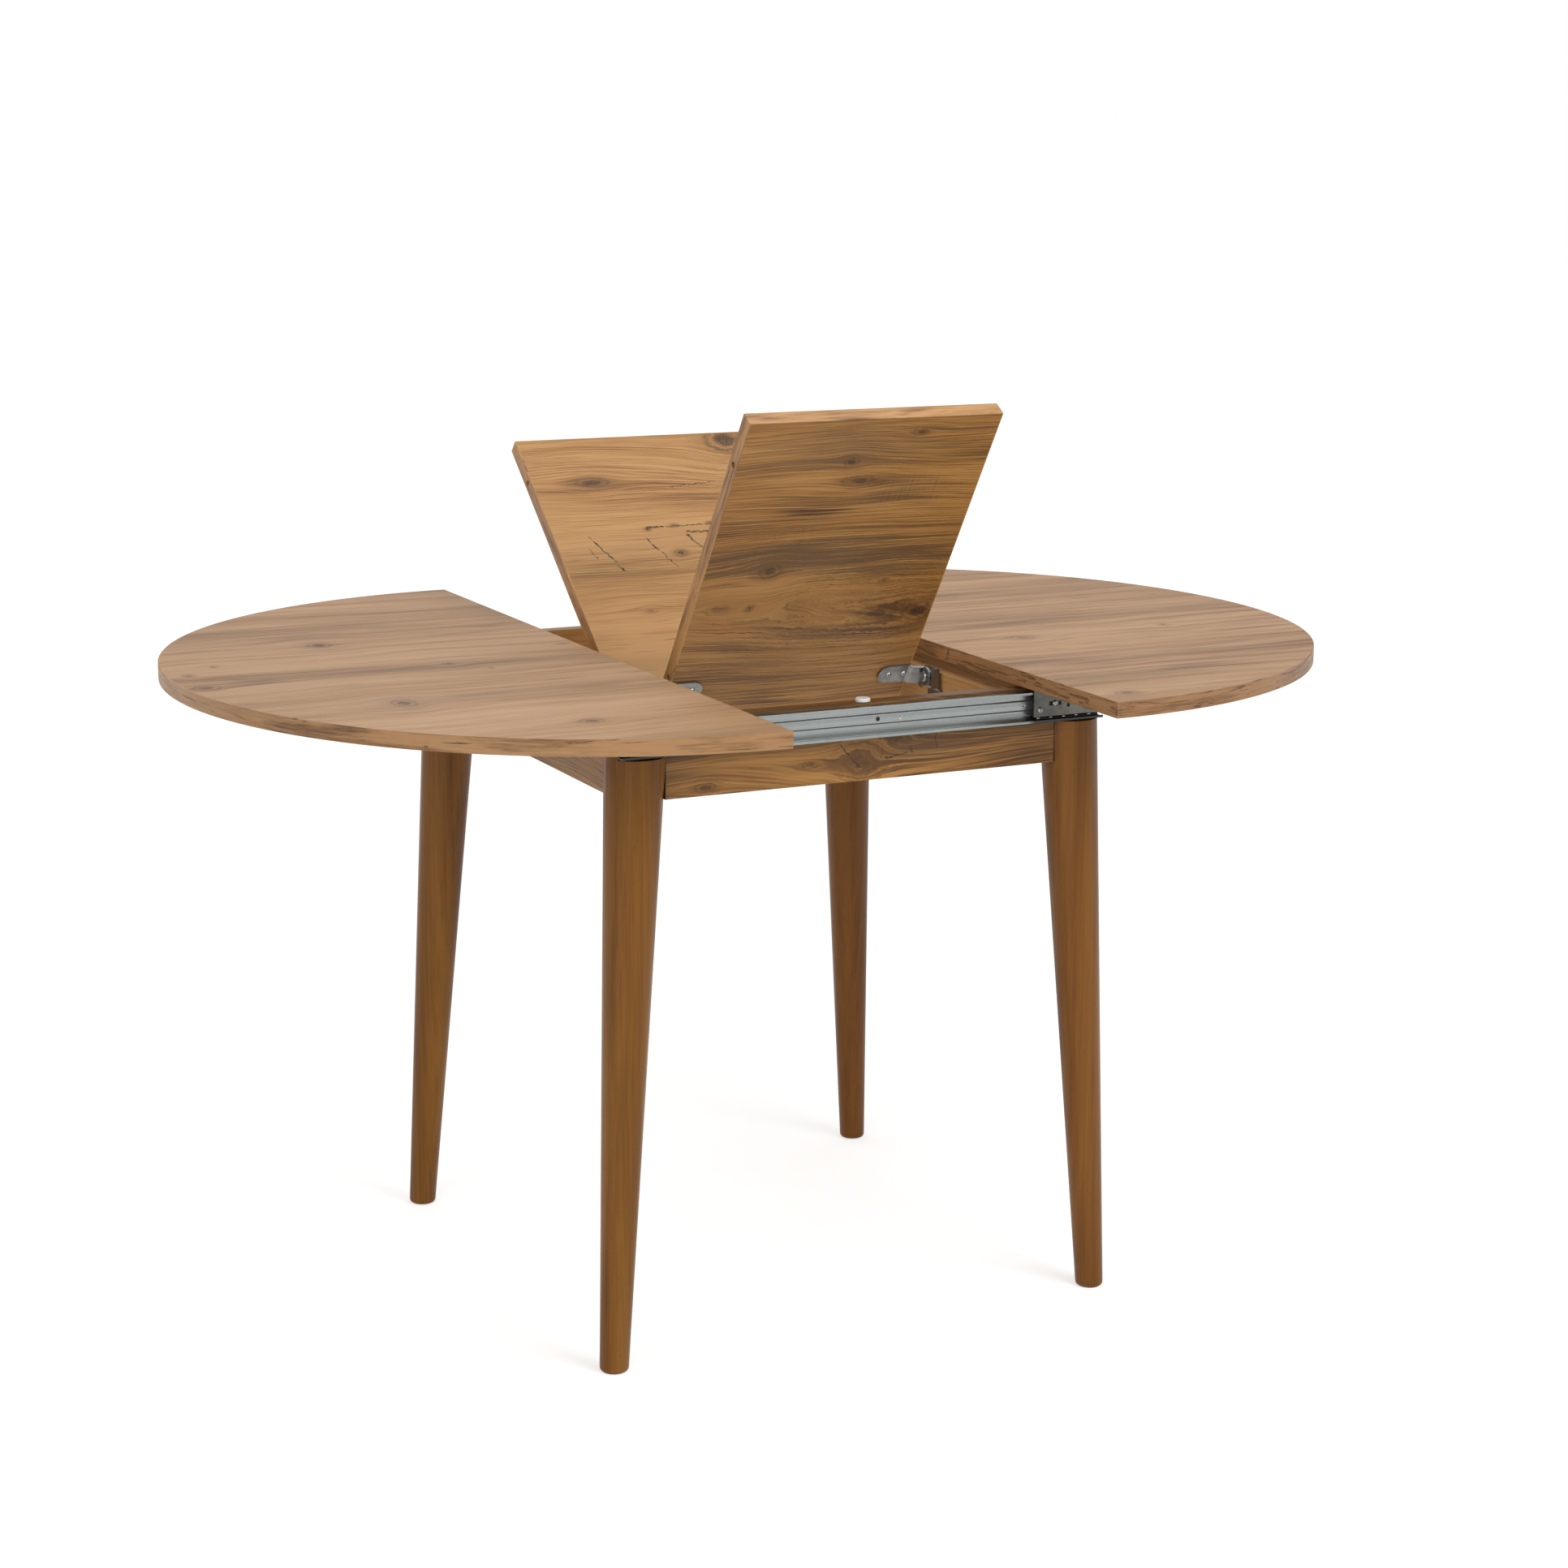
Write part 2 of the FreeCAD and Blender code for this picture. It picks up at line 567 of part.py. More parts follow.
angle = pad("Angle", "YZ_Plane", [
    (out("runner_out"), "channel_low + carrier_low"),
    (out("carrier_out"), "channel_low + carrier_low"),
    (out("carrier_out"), "top_under"),
    (out("(-carrier_in)"), "top_under"),
    (out("(-carrier_in)"), "top_under - carrier_sheet"),
    (out("runner_out"), "top_under - carrier_sheet"),
], "runner_start", "carrier_long")
angle_end = box("AngleEnd", ("runner_start + runner_long", "runner_start + carrier_long + spare"),
                (out("carrier_out + spare"), "-inner_y"), ("channel_low", "top_under - carrier_sheet"))
angle_slot = box("AngleSlot", ("runner_start + slot_past", "runner_start + slot_past + slot_long"),
                 (out("carrier_out + spare"), out("runner_out")),
                 ("channel_low + slot_low", "channel_low + slot_high"))
angle_hole = rod("AngleHole", "pinhole_radius", "carrier_sheet + spare",
                 at("runner_start + pinhole_past", out("carrier_out + spare"),
                    "channel_low + pinhole_level", "+y"))
four("runner_angle", cut("AngleBored", angle, angle_end, runner_screws, top_screws, angle_slot, angle_hole))

for side in ("right", "left"):
    for label, screws in (("runner_screws", runner_screws), ("top_screws", top_screws)):
        front = screws if side == "right" else mirror(screws.Name + "Left", screws, "x")
        rear = mirror(front.Name + "Rear", front, "y")
        node(f"{label}_{side}", group(front.Name + "Side", [front, rear]))

# Ball cages between channel and runner, with a row of balls above and below.
ball_levels = ["channel_low + sheet + ball_track/2", "channel_high - sheet - ball_track/2"]
ball_spots = [f"ball_first + {index}*ball_pitch" for index in range(round(number("ball_count")))]


def ball(x, level):
    """One steel ball."""
    item = doc.addObject("Part::Sphere", "Ball")
    return tie(item, Radius="ball_radius", Placement=at(x, out("ball_out"), level))


four("balls", group("Balls", [ball(x, level) for x in ball_spots for level in ball_levels]))

cage = pad("Cage", "YZ_Plane", [
    (out("cage_in"), f"{ball_levels[0]} - cage_sheet/2"),
    (out("cage_out"), f"{ball_levels[0]} - cage_sheet/2"),
    (out("cage_out"), f"{ball_levels[0]} + cage_sheet/2"),
    (out("cage_in + cage_sheet"), f"{ball_levels[0]} + cage_sheet/2"),
    (out("cage_in + cage_sheet"), f"{ball_levels[1]} - cage_sheet/2"),
    (out("cage_out"), f"{ball_levels[1]} - cage_sheet/2"),
    (out("cage_out"), f"{ball_levels[1]} + cage_sheet/2"),
    (out("cage_in"), f"{ball_levels[1]} + cage_sheet/2"),
], "ball_first - cage_margin", "(ball_count - 1)*ball_pitch + 2*cage_margin")
cage_holes = group("CageHoles", [
    rod("CageHole", "ball_track/2", "channel_tall", at(x, out("ball_out"), "channel_low"))
    for x in ball_spots])
four("ball_cage", cut("CageBored", cage, cage_holes))

# -------------------------------------------------------------------- bumpers

bumper = turned("Bumper", [
    ("0", "-stem_long"), ("stem_radius", "-stem_long"), ("stem_radius", "0"), ("bumper_radius", "0"),
    ("bumper_radius", "bumper_gap - bumper_play - bumper_edge"),
    ("bumper_radius - bumper_edge", "bumper_gap - bumper_play"),
    ("0", "bumper_gap - bumper_play")])
bumpers = node("bumpers", copies("BumperAt", bumper, [
    at("0", "-(frame_y - apron_thick/2)", "apron_high"), at("0", "frame_y - apron_thick/2", "apron_high")]))

# --------------------------------------------------------------------- aprons

front_board = box("FrontBoard", ("-reach_x", "reach_x"), ("-frame_y", "-inner_y"),
                  ("apron_low", "apron_high"))
apron_front = node("apron_front", cut("FrontBored", front_board, bumpers, all_brace_screws, channel_screws))
node("apron_rear", mirror("ApronRear", apron_front, "y"))
side_board = box("SideBoard", ("inner_x", "frame_x"), ("-reach_y", "reach_y"), ("apron_low", "apron_high"))
apron_right = node("apron_right", cut("SideBored", side_board, all_brace_screws))
node("apron_left", mirror("ApronLeft", apron_right, "x"))

# ---------------------------------------------------------------- leaf pivots

# A joggled plate on each pivot rail holds a headed, shouldered stud.
stud = turned("Stud", [
    ("0", "lug_x - side_play - stud_thick"),
    ("stud_head - stud_edge", "lug_x - side_play - stud_thick"),
    ("stud_head", "lug_x - side_play - stud_thick + stud_edge"),
    ("stud_head", "lug_x - side_play"),
    ("pin_radius", "lug_x - side_play"),
    ("pin_radius", "lug_x + strap + side_play"),
    ("stud_collar", "lug_x + strap + side_play"),
    ("stud_collar", "plate_in"),
    ("pin_radius", "plate_in"),
    ("pin_radius", "plate_in + strap"),
    ("stud_rivet", "plate_in + strap"),
    ("stud_rivet", "plate_in + strap + rivet_thick"),
    ("0", "plate_in + strap + rivet_thick")])
stud_right = copies("StudRight", stud, [at("0", "pivot_y", "pivot_z", "+x")])
stud_left = mirror("StudLeft", stud_right, "x")
node("pivot_studs", group("Studs", [stud_right, stud_left]))

plate_screws = copies("PlateScrew", pan_screw, [
    at("rail_x - strap", f"pivot_y {step}", "pivot_z - plate_low + plate_screw_up", "+x")
    for step in ("- plate_wide/4", "+ plate_wide/4")])
joggle_level = "(pivot_z - joggle_low)"
bend_fall = "strap*(sqrt(2) - 1)"
plate = pad("PivotPlate", "XZ_Plane", [
    ("rail_x - strap", "pivot_z - plate_low"),
    ("rail_x", "pivot_z - plate_low"),
    ("rail_x", joggle_level),
    ("rail_x - plate_joggle", f"{joggle_level} + plate_joggle"),
    ("rail_x - plate_joggle", "pivot_z + plate_high"),
    ("plate_in", "pivot_z + plate_high"),
    ("plate_in", f"{joggle_level} + plate_joggle - {bend_fall}"),
    ("rail_x - strap", f"{joggle_level} - {bend_fall}"),
], "-(pivot_y + plate_wide/2)", "plate_wide")
flange = box("PlateFlange", ("rail_x - plate_joggle - plate_flange", "rail_x - plate_joggle"),
             ("pivot_y - plate_wide/2", "pivot_y - plate_wide/2 + strap"),
             ("pivot_z + plate_high - flange_tall", "pivot_z + plate_high"))
plate_right = node("pivot_plate_right",
                   cut("PlateBored", fuse("PlateFlanged", plate, flange), stud_right, plate_screws))
node("pivot_plate_left", mirror("PlateLeft", plate_right, "x"))
node("pivot_screws", group("PivotScrews", [plate_screws, mirror("PlateScrewLeft", plate_screws, "x")]))

rail_board = box("RailBoard", ("rail_x", "rail_x + apron_thick"), ("-inner_y", "inner_y"),
                 ("rail_high - rail_tall", "rail_high"))
rail_right = node("pivot_rail_right", cut("RailBored", rail_board, plate_screws))
node("pivot_rail_left", mirror("RailLeft", rail_right, "x"))

# ----------------------------------------------------------------- top halves


def half_disc(name, radius):
    """A half round board on the right, its straight side at the cut edge."""
    item = doc.addObject("Part::Cylinder", name)
    return tie(item, Radius=radius, Height="board", Angle="180",
               Placement="placement(vector(top_open; 0; top_under); rotation(vector(0; 0; 1); -90))")


whole_half = half_disc("WholeHalf", "top_radius")
half_core = cut("HalfCore", half_disc("InnerHalf", "top_radius - edging"), box(
    "CutStrip", ("top_open", "top_open + edging"), ("-top_radius", "top_radius"),
    ("top_under", "table_height")))
half_band = cut("HalfBand", whole_half, half_core)
half_bores = group("HalfBores", [
    rod("HalfBore", "bore_radius", "bore_depth", at("top_open", y, "table_height - board/2", "+x"))
    for y in ("bore_near", "-bore_near", "bore_far", "-bore_far")])
top_screws_rear = mirror("TopScrewsBehind", top_screws, "y")
right_top = node("right_top", cut("RightTopBored", half_core, half_bores, top_screws, top_screws_rear))
right_edging = node("right_top_edging", cut("RightEdgingBored", half_band, half_bores))
node("left_top", mirror("LeftTop", right_top, "x"))
node("left_top_edging", mirror("LeftEdging", right_edging, "x"))

# ----------------------------------------------------------------------- leaf

# All of it is drawn flat, with the fold line as the X axis in the top face.


def bracket():
    """The right leaf bracket: a strap under the panel, bent down to a round lug."""
    axis = "(-pivot_drop)"
    half = "(strap_front + strap_rear)/2"
    strap = pad("Strap", "XZ_Plane", [
        (f"strap_start + {half}", "-board"),
        ("strap_bend", "-board"),
        ("strap_bend + strap_run", "-board - strap_fall"),
        ("lug_x + strap", f"{axis} + lug_top"),
        ("lug_x + strap", axis),
        ("lug_x", axis),
        ("lug_x", f"{axis} + lug_top - strap*lug_ratio"),
        ("strap_bend + strap_run - strap*arm_ratio", "-board - strap_fall - strap*fall_ratio"),
        ("strap_bend - strap*bend_ratio", "-board - strap"),
        (f"strap_start + {half}", "-board - strap"),
    ], "pivot_back - strap_rear", "strap_front + strap_rear")
    end = rod("StrapEnd", half, "strap",
              at(f"strap_start + {half}", "-pivot_back + (strap_rear - strap_front)/2", "-board - strap"))
    lug = rod("Lug", "lug_radius", "strap", at("lug_x", "-pivot_back", axis, "+x"))
    eye = rod("Eye", "pin_radius + pin_play", "strap + 2*spare",
              at("lug_x - spare", "-pivot_back", axis, "+x"))
    return cut("BracketEye", fuse("BracketSolid", fuse("BracketStrap", strap, end), lug), eye)


bracket_right = bracket()
bracket_screws = copies("BracketScrew", pan_screw, [
    at(f"strap_start + {step}", "-pivot_back + strap_screw_back", "-board - strap", "+z")
    for step in ("strap_screw_near", "strap_screw_next")])
bracket_bored = cut("BracketBored", bracket_right, bracket_screws)
bracket_left = mirror("BracketLeft", bracket_bored, "x")
bracket_screws_left = mirror("BracketScrewsLeft", bracket_screws, "x")
bracket_screws_all = group("BracketScrews", [bracket_screws, bracket_screws_left])

hinge_spots = ["-hinge_pitch", "0", "hinge_pitch"]
fold_room = group("FoldRoom", [
    rod("FoldSlot", "link_radius + link_play", "link_wide + 2*link_play",
        at(f"{x} - link_wide/2 - link_play", "0", "0", "+x")) for x in hinge_spots])


def leaf_panel(side, way):
    """A leaf panel's board, edge bands and hinge cups, in front of or behind the fold line."""
    sign = "-" if way == "-y" else "+"
    near, far = ("0", "panel_long") if way == "+y" else ("-panel_long", "0")
    gap_near, gap_far = ("fold_gap", "0") if way == "+y" else ("0", "fold_gap")
    y = (f"{near} + {gap_near}", f"{far} - {gap_far}")
    whole = box(side + "Whole", ("-leaf_wide/2", "leaf_wide/2"), y, ("-board", "0"))
    core = box(side + "Core", ("-leaf_wide/2 + edging", "leaf_wide/2 - edging"),
               (f"{y[0]} + edging", f"{y[1]} - edging"), ("-board", "0"))
    band = cut(side + "Band", whole, core)
    cups = group(side + "Cups", [
        rod(side + "Cup", "cup_radius", "cup_deep", at(x, f"{sign}fold_gap", "-board/2", way))
        for x in hinge_spots])
    bores = group(side + "Bores", [
        rod(side + "Bore", "bore_radius", "bore_depth",
            at(f"{edge}leaf_wide/2", f"{sign}{reach}", "-board/2", into))
        for edge, into in (("", "-x"), ("-", "+x")) for reach in ("bore_near", "bore_far")])
    tools = [bores, cups, fold_room]
    return {"board": cut(side + "BoardCut", core, *tools), "edging": cut(side + "EdgingCut", band, *tools),
            "cups": cut(side + "CupsCut", cups, fold_room)}


front = leaf_panel("Front", "-y")
rear = leaf_panel("Rear", "+y")
front_board_bored = cut("FrontPanelBored", front["board"], bracket_screws_all)
for label, item, place in (
        ("leaf_front_panel", front_board_bored, LEAF_FRONT),
        ("leaf_front_edging", front["edging"], LEAF_FRONT),
        ("leaf_front_hinge_cups", front["cups"], LEAF_FRONT),
        ("leaf_rear_panel", rear["board"], LEAF_REAR),
        ("leaf_rear_edging", rear["edging"], LEAF_REAR),
        ("leaf_rear_hinge_cups", rear["cups"], LEAF_REAR)):
    tie(node(label, item), Placement=place)

# The hardware of the leaf is grouped, so that the flat pieces stay where they are drawn.
for label, items, place in (
        ("leaf_bracket_right", [bracket_bored], LEAF_FRONT),
        ("leaf_bracket_left", [bracket_left], LEAF_FRONT),
        ("bracket_screws", [bracket_screws_all], LEAF_FRONT),
        ("fold_links", [rod("FoldLink", "link_radius", "link_wide",
                            at(f"{x} - link_wide/2", "0", "0", "+x")
                            + " * placement(vector(0; 0; 0); rotation(vector(0; 0; 1); -90))", "180")
                        for x in hinge_spots], LEAF_LINKS)):
    tie(node(label, group(label.title().replace("_", ""), items)), Placement=place)

# ---------------------------------------------------------------------- write

doc.recompute()
for item in doc.Objects:
    if "Invalid" in item.State or "Error" in item.State:
        raise RuntimeError(f"{item.Label}: {item.State}")
os.makedirs("parts", exist_ok=True)
for item in nodes:
    shape = item.Shape
    if shape.isNull() or not shape.isValid():
        raise RuntimeError(f"{item.Label}: the shape is null or not valid")
    shape.exportStep(f"parts/{item.Label}.step")
print(len(nodes), "sub-parts,", sum(len(item.Shape.Solids) for item in nodes), "solids")
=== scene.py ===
# %% [markdown]
# # A butterfly leaf table
# A round table in two halves that slide apart, with a hinged leaf that turns up out
# of the frame between them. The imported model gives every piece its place. This
# script dresses it: printed wood on the boards, thin bands on their edges, stained
# beech for the legs, and steel, brass and plastic for what moves and holds.
#
# All lengths are in metres. X runs from the left half to the right one, y from the
# front to the rear, and z up from the floor.

import json
import math

import bpy
import numpy as np
from mathutils import Matrix, Vector


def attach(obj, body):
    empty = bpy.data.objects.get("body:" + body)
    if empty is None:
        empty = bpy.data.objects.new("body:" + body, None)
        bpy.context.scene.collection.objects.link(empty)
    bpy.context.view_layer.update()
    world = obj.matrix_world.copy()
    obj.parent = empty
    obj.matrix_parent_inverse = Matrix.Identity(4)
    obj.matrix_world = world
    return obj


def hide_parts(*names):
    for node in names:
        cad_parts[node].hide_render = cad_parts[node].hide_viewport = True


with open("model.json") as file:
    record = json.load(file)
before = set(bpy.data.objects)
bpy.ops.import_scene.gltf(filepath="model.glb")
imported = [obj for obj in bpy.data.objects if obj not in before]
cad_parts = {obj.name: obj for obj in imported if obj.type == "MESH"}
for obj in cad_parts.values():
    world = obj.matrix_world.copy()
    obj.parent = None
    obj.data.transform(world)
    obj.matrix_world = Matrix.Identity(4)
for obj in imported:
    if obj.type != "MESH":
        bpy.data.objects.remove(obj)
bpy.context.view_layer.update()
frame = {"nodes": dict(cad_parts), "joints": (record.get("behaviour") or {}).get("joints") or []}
nodes = frame["nodes"]
joints = {joint["name"]: joint for joint in frame["joints"]}
fold_point = joints["leaf_fold"]["pos_m"]

# %% [markdown]
# ## The camera
# A long lens a little above the top looks down across the table from the front
# left. Yaw, pitch and roll are turned into the three axes of the camera, because a
# matrix says exactly what is meant, where Euler angles depend on their order.

# %% Camera
CAMERA_YAW = 0.467
CAMERA_PITCH = 0.217
CAMERA_ROLL = -0.011
CAMERA_PLACE = (-1.660245, -3.385831, 1.408361)
CAMERA_LENS = 74.31
SENSOR = 36
FAR_END = 100


def camera_axes(yaw, pitch, roll):
    """Right, down and forward: forward from yaw and pitch, the others rolled about it."""
    level = math.cos(pitch)
    forward = np.array([math.sin(yaw) * level, math.cos(yaw) * level, -math.sin(pitch)])
    right = np.array([math.cos(yaw), -math.sin(yaw), 0])
    down = np.cross(forward, right)
    return (right * math.cos(roll) + down * math.sin(roll),
            down * math.cos(roll) - right * math.sin(roll), forward)


right, down, forward = camera_axes(CAMERA_YAW, CAMERA_PITCH, CAMERA_ROLL)
camera = bpy.data.objects.new("camera", bpy.data.cameras.new("camera"))
turn = Matrix([[*row] for row in np.stack([right, -down, -forward], 1)]).to_4x4()
camera.matrix_world = Matrix.Translation(CAMERA_PLACE) @ turn
camera.data.lens = CAMERA_LENS
camera.data.sensor_width = SENSOR
camera.data.clip_end = FAR_END
bpy.context.scene.collection.objects.link(camera)
bpy.context.scene.camera = camera
bpy.context.scene.view_settings.view_transform = "Standard"
print("camera at", CAMERA_PLACE)

# %% [markdown]
# ## Wiring
# A material is a net of small nodes. `Wiring` lays one out by code: each call adds
# a node, takes plain numbers or other nodes' outputs alike, and gives its output
# back, so that a finish reads from top to bottom like a recipe.

# %% Wiring
AT_ORIGIN = ((0, 0, 0), (0, 0, 0))


class Wiring:
    """A material's node tree, and one short call for each kind of node."""

    def __init__(self, name):
        self.material = bpy.data.materials.new(name)
        self.material.use_nodes = True
        self.tree = self.material.node_tree
        self.shader = self.tree.nodes["Principled BSDF"]
        self.output = self.tree.nodes["Material Output"]

    def add(self, kind, **settings):
        node = self.tree.nodes.new("ShaderNode" + kind)
        for key, value in settings.items():
            setattr(node, key, value)
        return node

    def feed(self, socket, value):
        if isinstance(value, bpy.types.NodeSocket):
            self.tree.links.new(value, socket)
        else:
            socket.default_value = value

    def place(self, location=(0, 0, 0), rotation=(0, 0, 0)):
        """Object coordinates, measured from a point and in turned axes."""
        mapping = self.add("Mapping", vector_type="TEXTURE")
        mapping.inputs["Location"].default_value = location
        mapping.inputs["Rotation"].default_value = rotation
        self.feed(mapping.inputs["Vector"], self.add("TexCoord").outputs["Object"])
        return mapping.outputs[0]

    def math(self, operation, *values):
        node = self.add("Math", operation=operation)
        for socket, value in zip(node.inputs, values):
            self.feed(socket, value)
        return node.outputs[0]

    def split(self, vector):
        node = self.add("SeparateXYZ")
        self.feed(node.inputs[0], vector)
        return node.outputs

    def join(self, x, y, z=0.0):
        node = self.add("CombineXYZ")
        for socket, value in zip(node.inputs, (x, y, z)):
            self.feed(socket, value)
        return node.outputs[0]

    def shift(self, vector, by, operation="ADD"):
        """A vector plus a fixed one, or changed by it in another way."""
        node = self.add("VectorMath", operation=operation)
        self.feed(node.inputs[0], vector)
        node.inputs[1].default_value = by
        return node.outputs[0]

    def stretch(self, vector, scale):
        return self.shift(vector, scale, "MULTIPLY")

    def length(self, vector):
        node = self.add("VectorMath", operation="LENGTH")
        self.feed(node.inputs[0], vector)
        return node.outputs["Value"]

    def noise(self, vector, scale=1.0, detail=2.0, roughness=0.5, distortion=0.0):
        node = self.add("TexNoise")
        for key, value in zip(("Vector", "Scale", "Detail", "Roughness", "Distortion"),
                              (vector, scale, detail, roughness, distortion)):
            self.feed(node.inputs[key], value)
        return node.outputs["Fac"]

    def cells(self, vector, scale):
        node = self.add("TexVoronoi")
        self.feed(node.inputs["Vector"], vector)
        node.inputs["Scale"].default_value = scale
        return node.outputs["Color"]

    def step(self, value, low, high, first=0.0, last=1.0):
        """first below low, last above high, and a smooth rise between."""
        node = self.add("MapRange", interpolation_type="SMOOTHSTEP")
        for socket, item in zip(node.inputs, (value, low, high, first, last)):
            self.feed(socket, item)
        return node.outputs[0]

    def ramp(self, value, stops):
        """A colour from a number: stops are (number, colour), the lowest first."""
        node = self.add("ValToRGB")
        elements = node.color_ramp.elements
        while len(elements) < len(stops):
            elements.new(0.5)
        for index, (number, color) in enumerate(stops):
            elements[index].position = number
            elements[index].color = (*color, 1)
        self.feed(node.inputs[0], value)
        return node.outputs[0]

    def mix(self, amount, first, second):
        node = self.add("Mix", data_type="RGBA")
        self.feed(node.inputs["Factor"], amount)
        for socket, color in ((node.inputs["A"], first), (node.inputs["B"], second)):
            self.feed(socket, (*color, 1) if isinstance(color, tuple) else color)
        return node.outputs["Result"]

    def bump(self, height, strength, distance, edge=0.0):
        """Relief from a height, over edges softened by a small radius."""
        node = self.add("Bump")
        node.inputs["Strength"].default_value = strength
        node.inputs["Distance"].default_value = distance
        self.feed(node.inputs["Height"], height)
        if edge:
            soft = self.add("Bevel", samples=4)
            soft.inputs["Radius"].default_value = edge
            self.feed(node.inputs["Normal"], soft.outputs[0])
        self.feed(self.shader.inputs["Normal"], node.outputs[0])

    def finish(self, **sockets):
        """Feed the shader's sockets by name, with _ for a space, and hand over the material."""
        for key, value in sockets.items():
            is_color = isinstance(value, tuple) and len(value) == 3
            self.feed(self.shader.inputs[key.replace("_", " ")], (*value, 1) if is_color else value)
        return self.material


def dress(material, *names):
    """Give nodes one material in place of what they came with."""
    for name in names:
        nodes[name].data.materials.clear()
        nodes[name].data.materials.append(material)
    print(material.name, "on", len(names), "nodes")


def tinted(colors, tint):
    """Each colour times the tint, part by part."""
    return [tuple(part * share for part, share in zip(color, tint)) for color in colors]


print("wiring ready")

# %% [markdown]
# ## Knots, stains and cracks
# The boards are chipboard under a printed foil of old pine. The print is drawn in
# each board's own flat coordinates: *along* the grain and *across* it. Some marks
# have a place of their own there. A knot pushes the grain aside as it does in a
# tree. A stain is a soft dark spot with ragged ends. A crack is a thin line between
# two points, which noise makes waver and break off.
#
# The pairs called FADE say between which two values a mark comes in or goes out.

# %% Knots, stains and cracks
UNEVEN_SCALES = (75, 210, 1)
KNOT_PUSH, KNOT_FALL = -1.1, 0.35
HALO_FADE = (0.6, 2.6)
RIM_REACH, RIM_FADE, RIM_SHARE = 0.95, (0.04, 0.22), 0.5
CORE_FADE = (0.38, 0.70)
SPOT_FADE = (0.25, 1.25)
WAVER_SCALE, WAVER = 110.0, 0.010
BREAK_SCALE, BREAK_FADE, BREAK_LEAST = 210.0, (0.36, 0.50), 0.25
CRACK_START = (-0.001, 0.004)
CRACK_CORE = 0.4


def spot_reach(wiring, flat, spot):
    """The way from a spot's middle counted in its half sizes, and its length."""
    along, across, half_length, half_width = spot[:4]
    offset = wiring.shift(flat, (along, across, 0), "SUBTRACT")
    way = wiring.stretch(offset, (1 / half_length, 1 / half_width, 0))
    return way, wiring.length(way)


def knot_field(wiring, flat, knots, uneven_by):
    """Each knot is (along, across, half length, half width, darkness). Noise makes its
    reach uneven. The grain is pushed by a share of the half width times the way across,
    over one plus a share of reach squared. The halo fades from the rim outward, the
    rim is a faint ring, and the core is dark."""
    push, halo, core = 0.0, 0.0, 0.0
    uneven = wiring.noise(wiring.stretch(flat, UNEVEN_SCALES), detail=3.0, roughness=0.6)
    uneven = wiring.math("MULTIPLY", wiring.math("SUBTRACT", uneven, 0.5), uneven_by)
    for knot in knots:
        half_width, dark = knot[3:]
        way, smooth = spot_reach(wiring, flat, knot)
        reach = wiring.math("MAXIMUM", wiring.math("ADD", smooth, uneven), 0.0)
        fall = wiring.math("MULTIPLY_ADD", wiring.math("MULTIPLY", reach, reach), KNOT_FALL, 1.0)
        moved = wiring.math("MULTIPLY", wiring.split(way)[1], KNOT_PUSH * half_width)
        push = wiring.math("ADD", push, wiring.math("DIVIDE", moved, fall))
        halo = wiring.math("MAXIMUM", halo, wiring.step(reach, *HALO_FADE, dark, 0.0))
        off_rim = wiring.math("ABSOLUTE", wiring.math("SUBTRACT", reach, RIM_REACH))
        rim = wiring.step(off_rim, *RIM_FADE, RIM_SHARE * dark, 0.0)
        heart = wiring.math("MAXIMUM", rim, wiring.step(reach, *CORE_FADE, dark, 0.0))
        core = wiring.math("MAXIMUM", core, heart)
    return push, halo, core


def spot_field(wiring, flat, spots, ragged):
    """Sum of soft spots, each (along, across, half length, half width, amount), with a
    ragged number added to the reach so that their edges feather out along the grain."""
    total = 0.0
    for spot in spots:
        _, smooth = spot_reach(wiring, flat, spot)
        reach = wiring.math("ADD", smooth, ragged)
        total = wiring.math("ADD", total, wiring.step(reach, *SPOT_FADE, spot[4], 0.0))
    return total


def crack_field(wiring, along, across, cracks):
    """For each crack, (one end, other end, half width): how near the surface is to that
    line, 1 on it and 0 at its half width, wavering and breaking off with noise."""
    total = 0.0
    flat = wiring.join(along, across)
    waver = wiring.math("SUBTRACT", wiring.noise(flat, WAVER_SCALE, detail=3.0), 0.5)
    waver = wiring.math("MULTIPLY", waver, WAVER)
    broken = wiring.step(wiring.noise(flat, BREAK_SCALE), *BREAK_FADE, BREAK_LEAST, 1.0)
    for (x0, y0), (x1, y1), wide in cracks:
        long = math.hypot(x1 - x0, y1 - y0)
        ex, ey = (x1 - x0) / long, (y1 - y0) / long
        dx = wiring.math("SUBTRACT", along, x0)
        dy = wiring.math("SUBTRACT", across, y0)
        run = wiring.math("ADD", wiring.math("MULTIPLY", dx, ex), wiring.math("MULTIPLY", dy, ey))
        off = wiring.math("SUBTRACT", wiring.math("MULTIPLY", dx, -ey),
                          wiring.math("MULTIPLY", dy, -ex))
        off = wiring.math("ABSOLUTE", wiring.math("ADD", off, waver))
        inside = wiring.math("MULTIPLY", wiring.step(run, *CRACK_START),
                             wiring.step(run, long - CRACK_START[1], long, 1.0, 0.0))
        line = wiring.math("MULTIPLY", wiring.step(off, wide * CRACK_CORE, wide, 1.0, 0.0), inside)
        total = wiring.math("MAXIMUM", total, line)
    return wiring.math("MULTIPLY", total, broken)


print("marks ready")

# %% [markdown]
# ## Printed pine
# Under the marks lies the grain. Growth rings are a saw-tooth of across: they darken
# slowly and end at once, as in softwood. Noise that is stretched along the grain
# adds bands, streaks and fibres. All of it is summed into one *tone*, which a ramp
# turns into four colours, and greyed patches, seams and pores are laid over that.

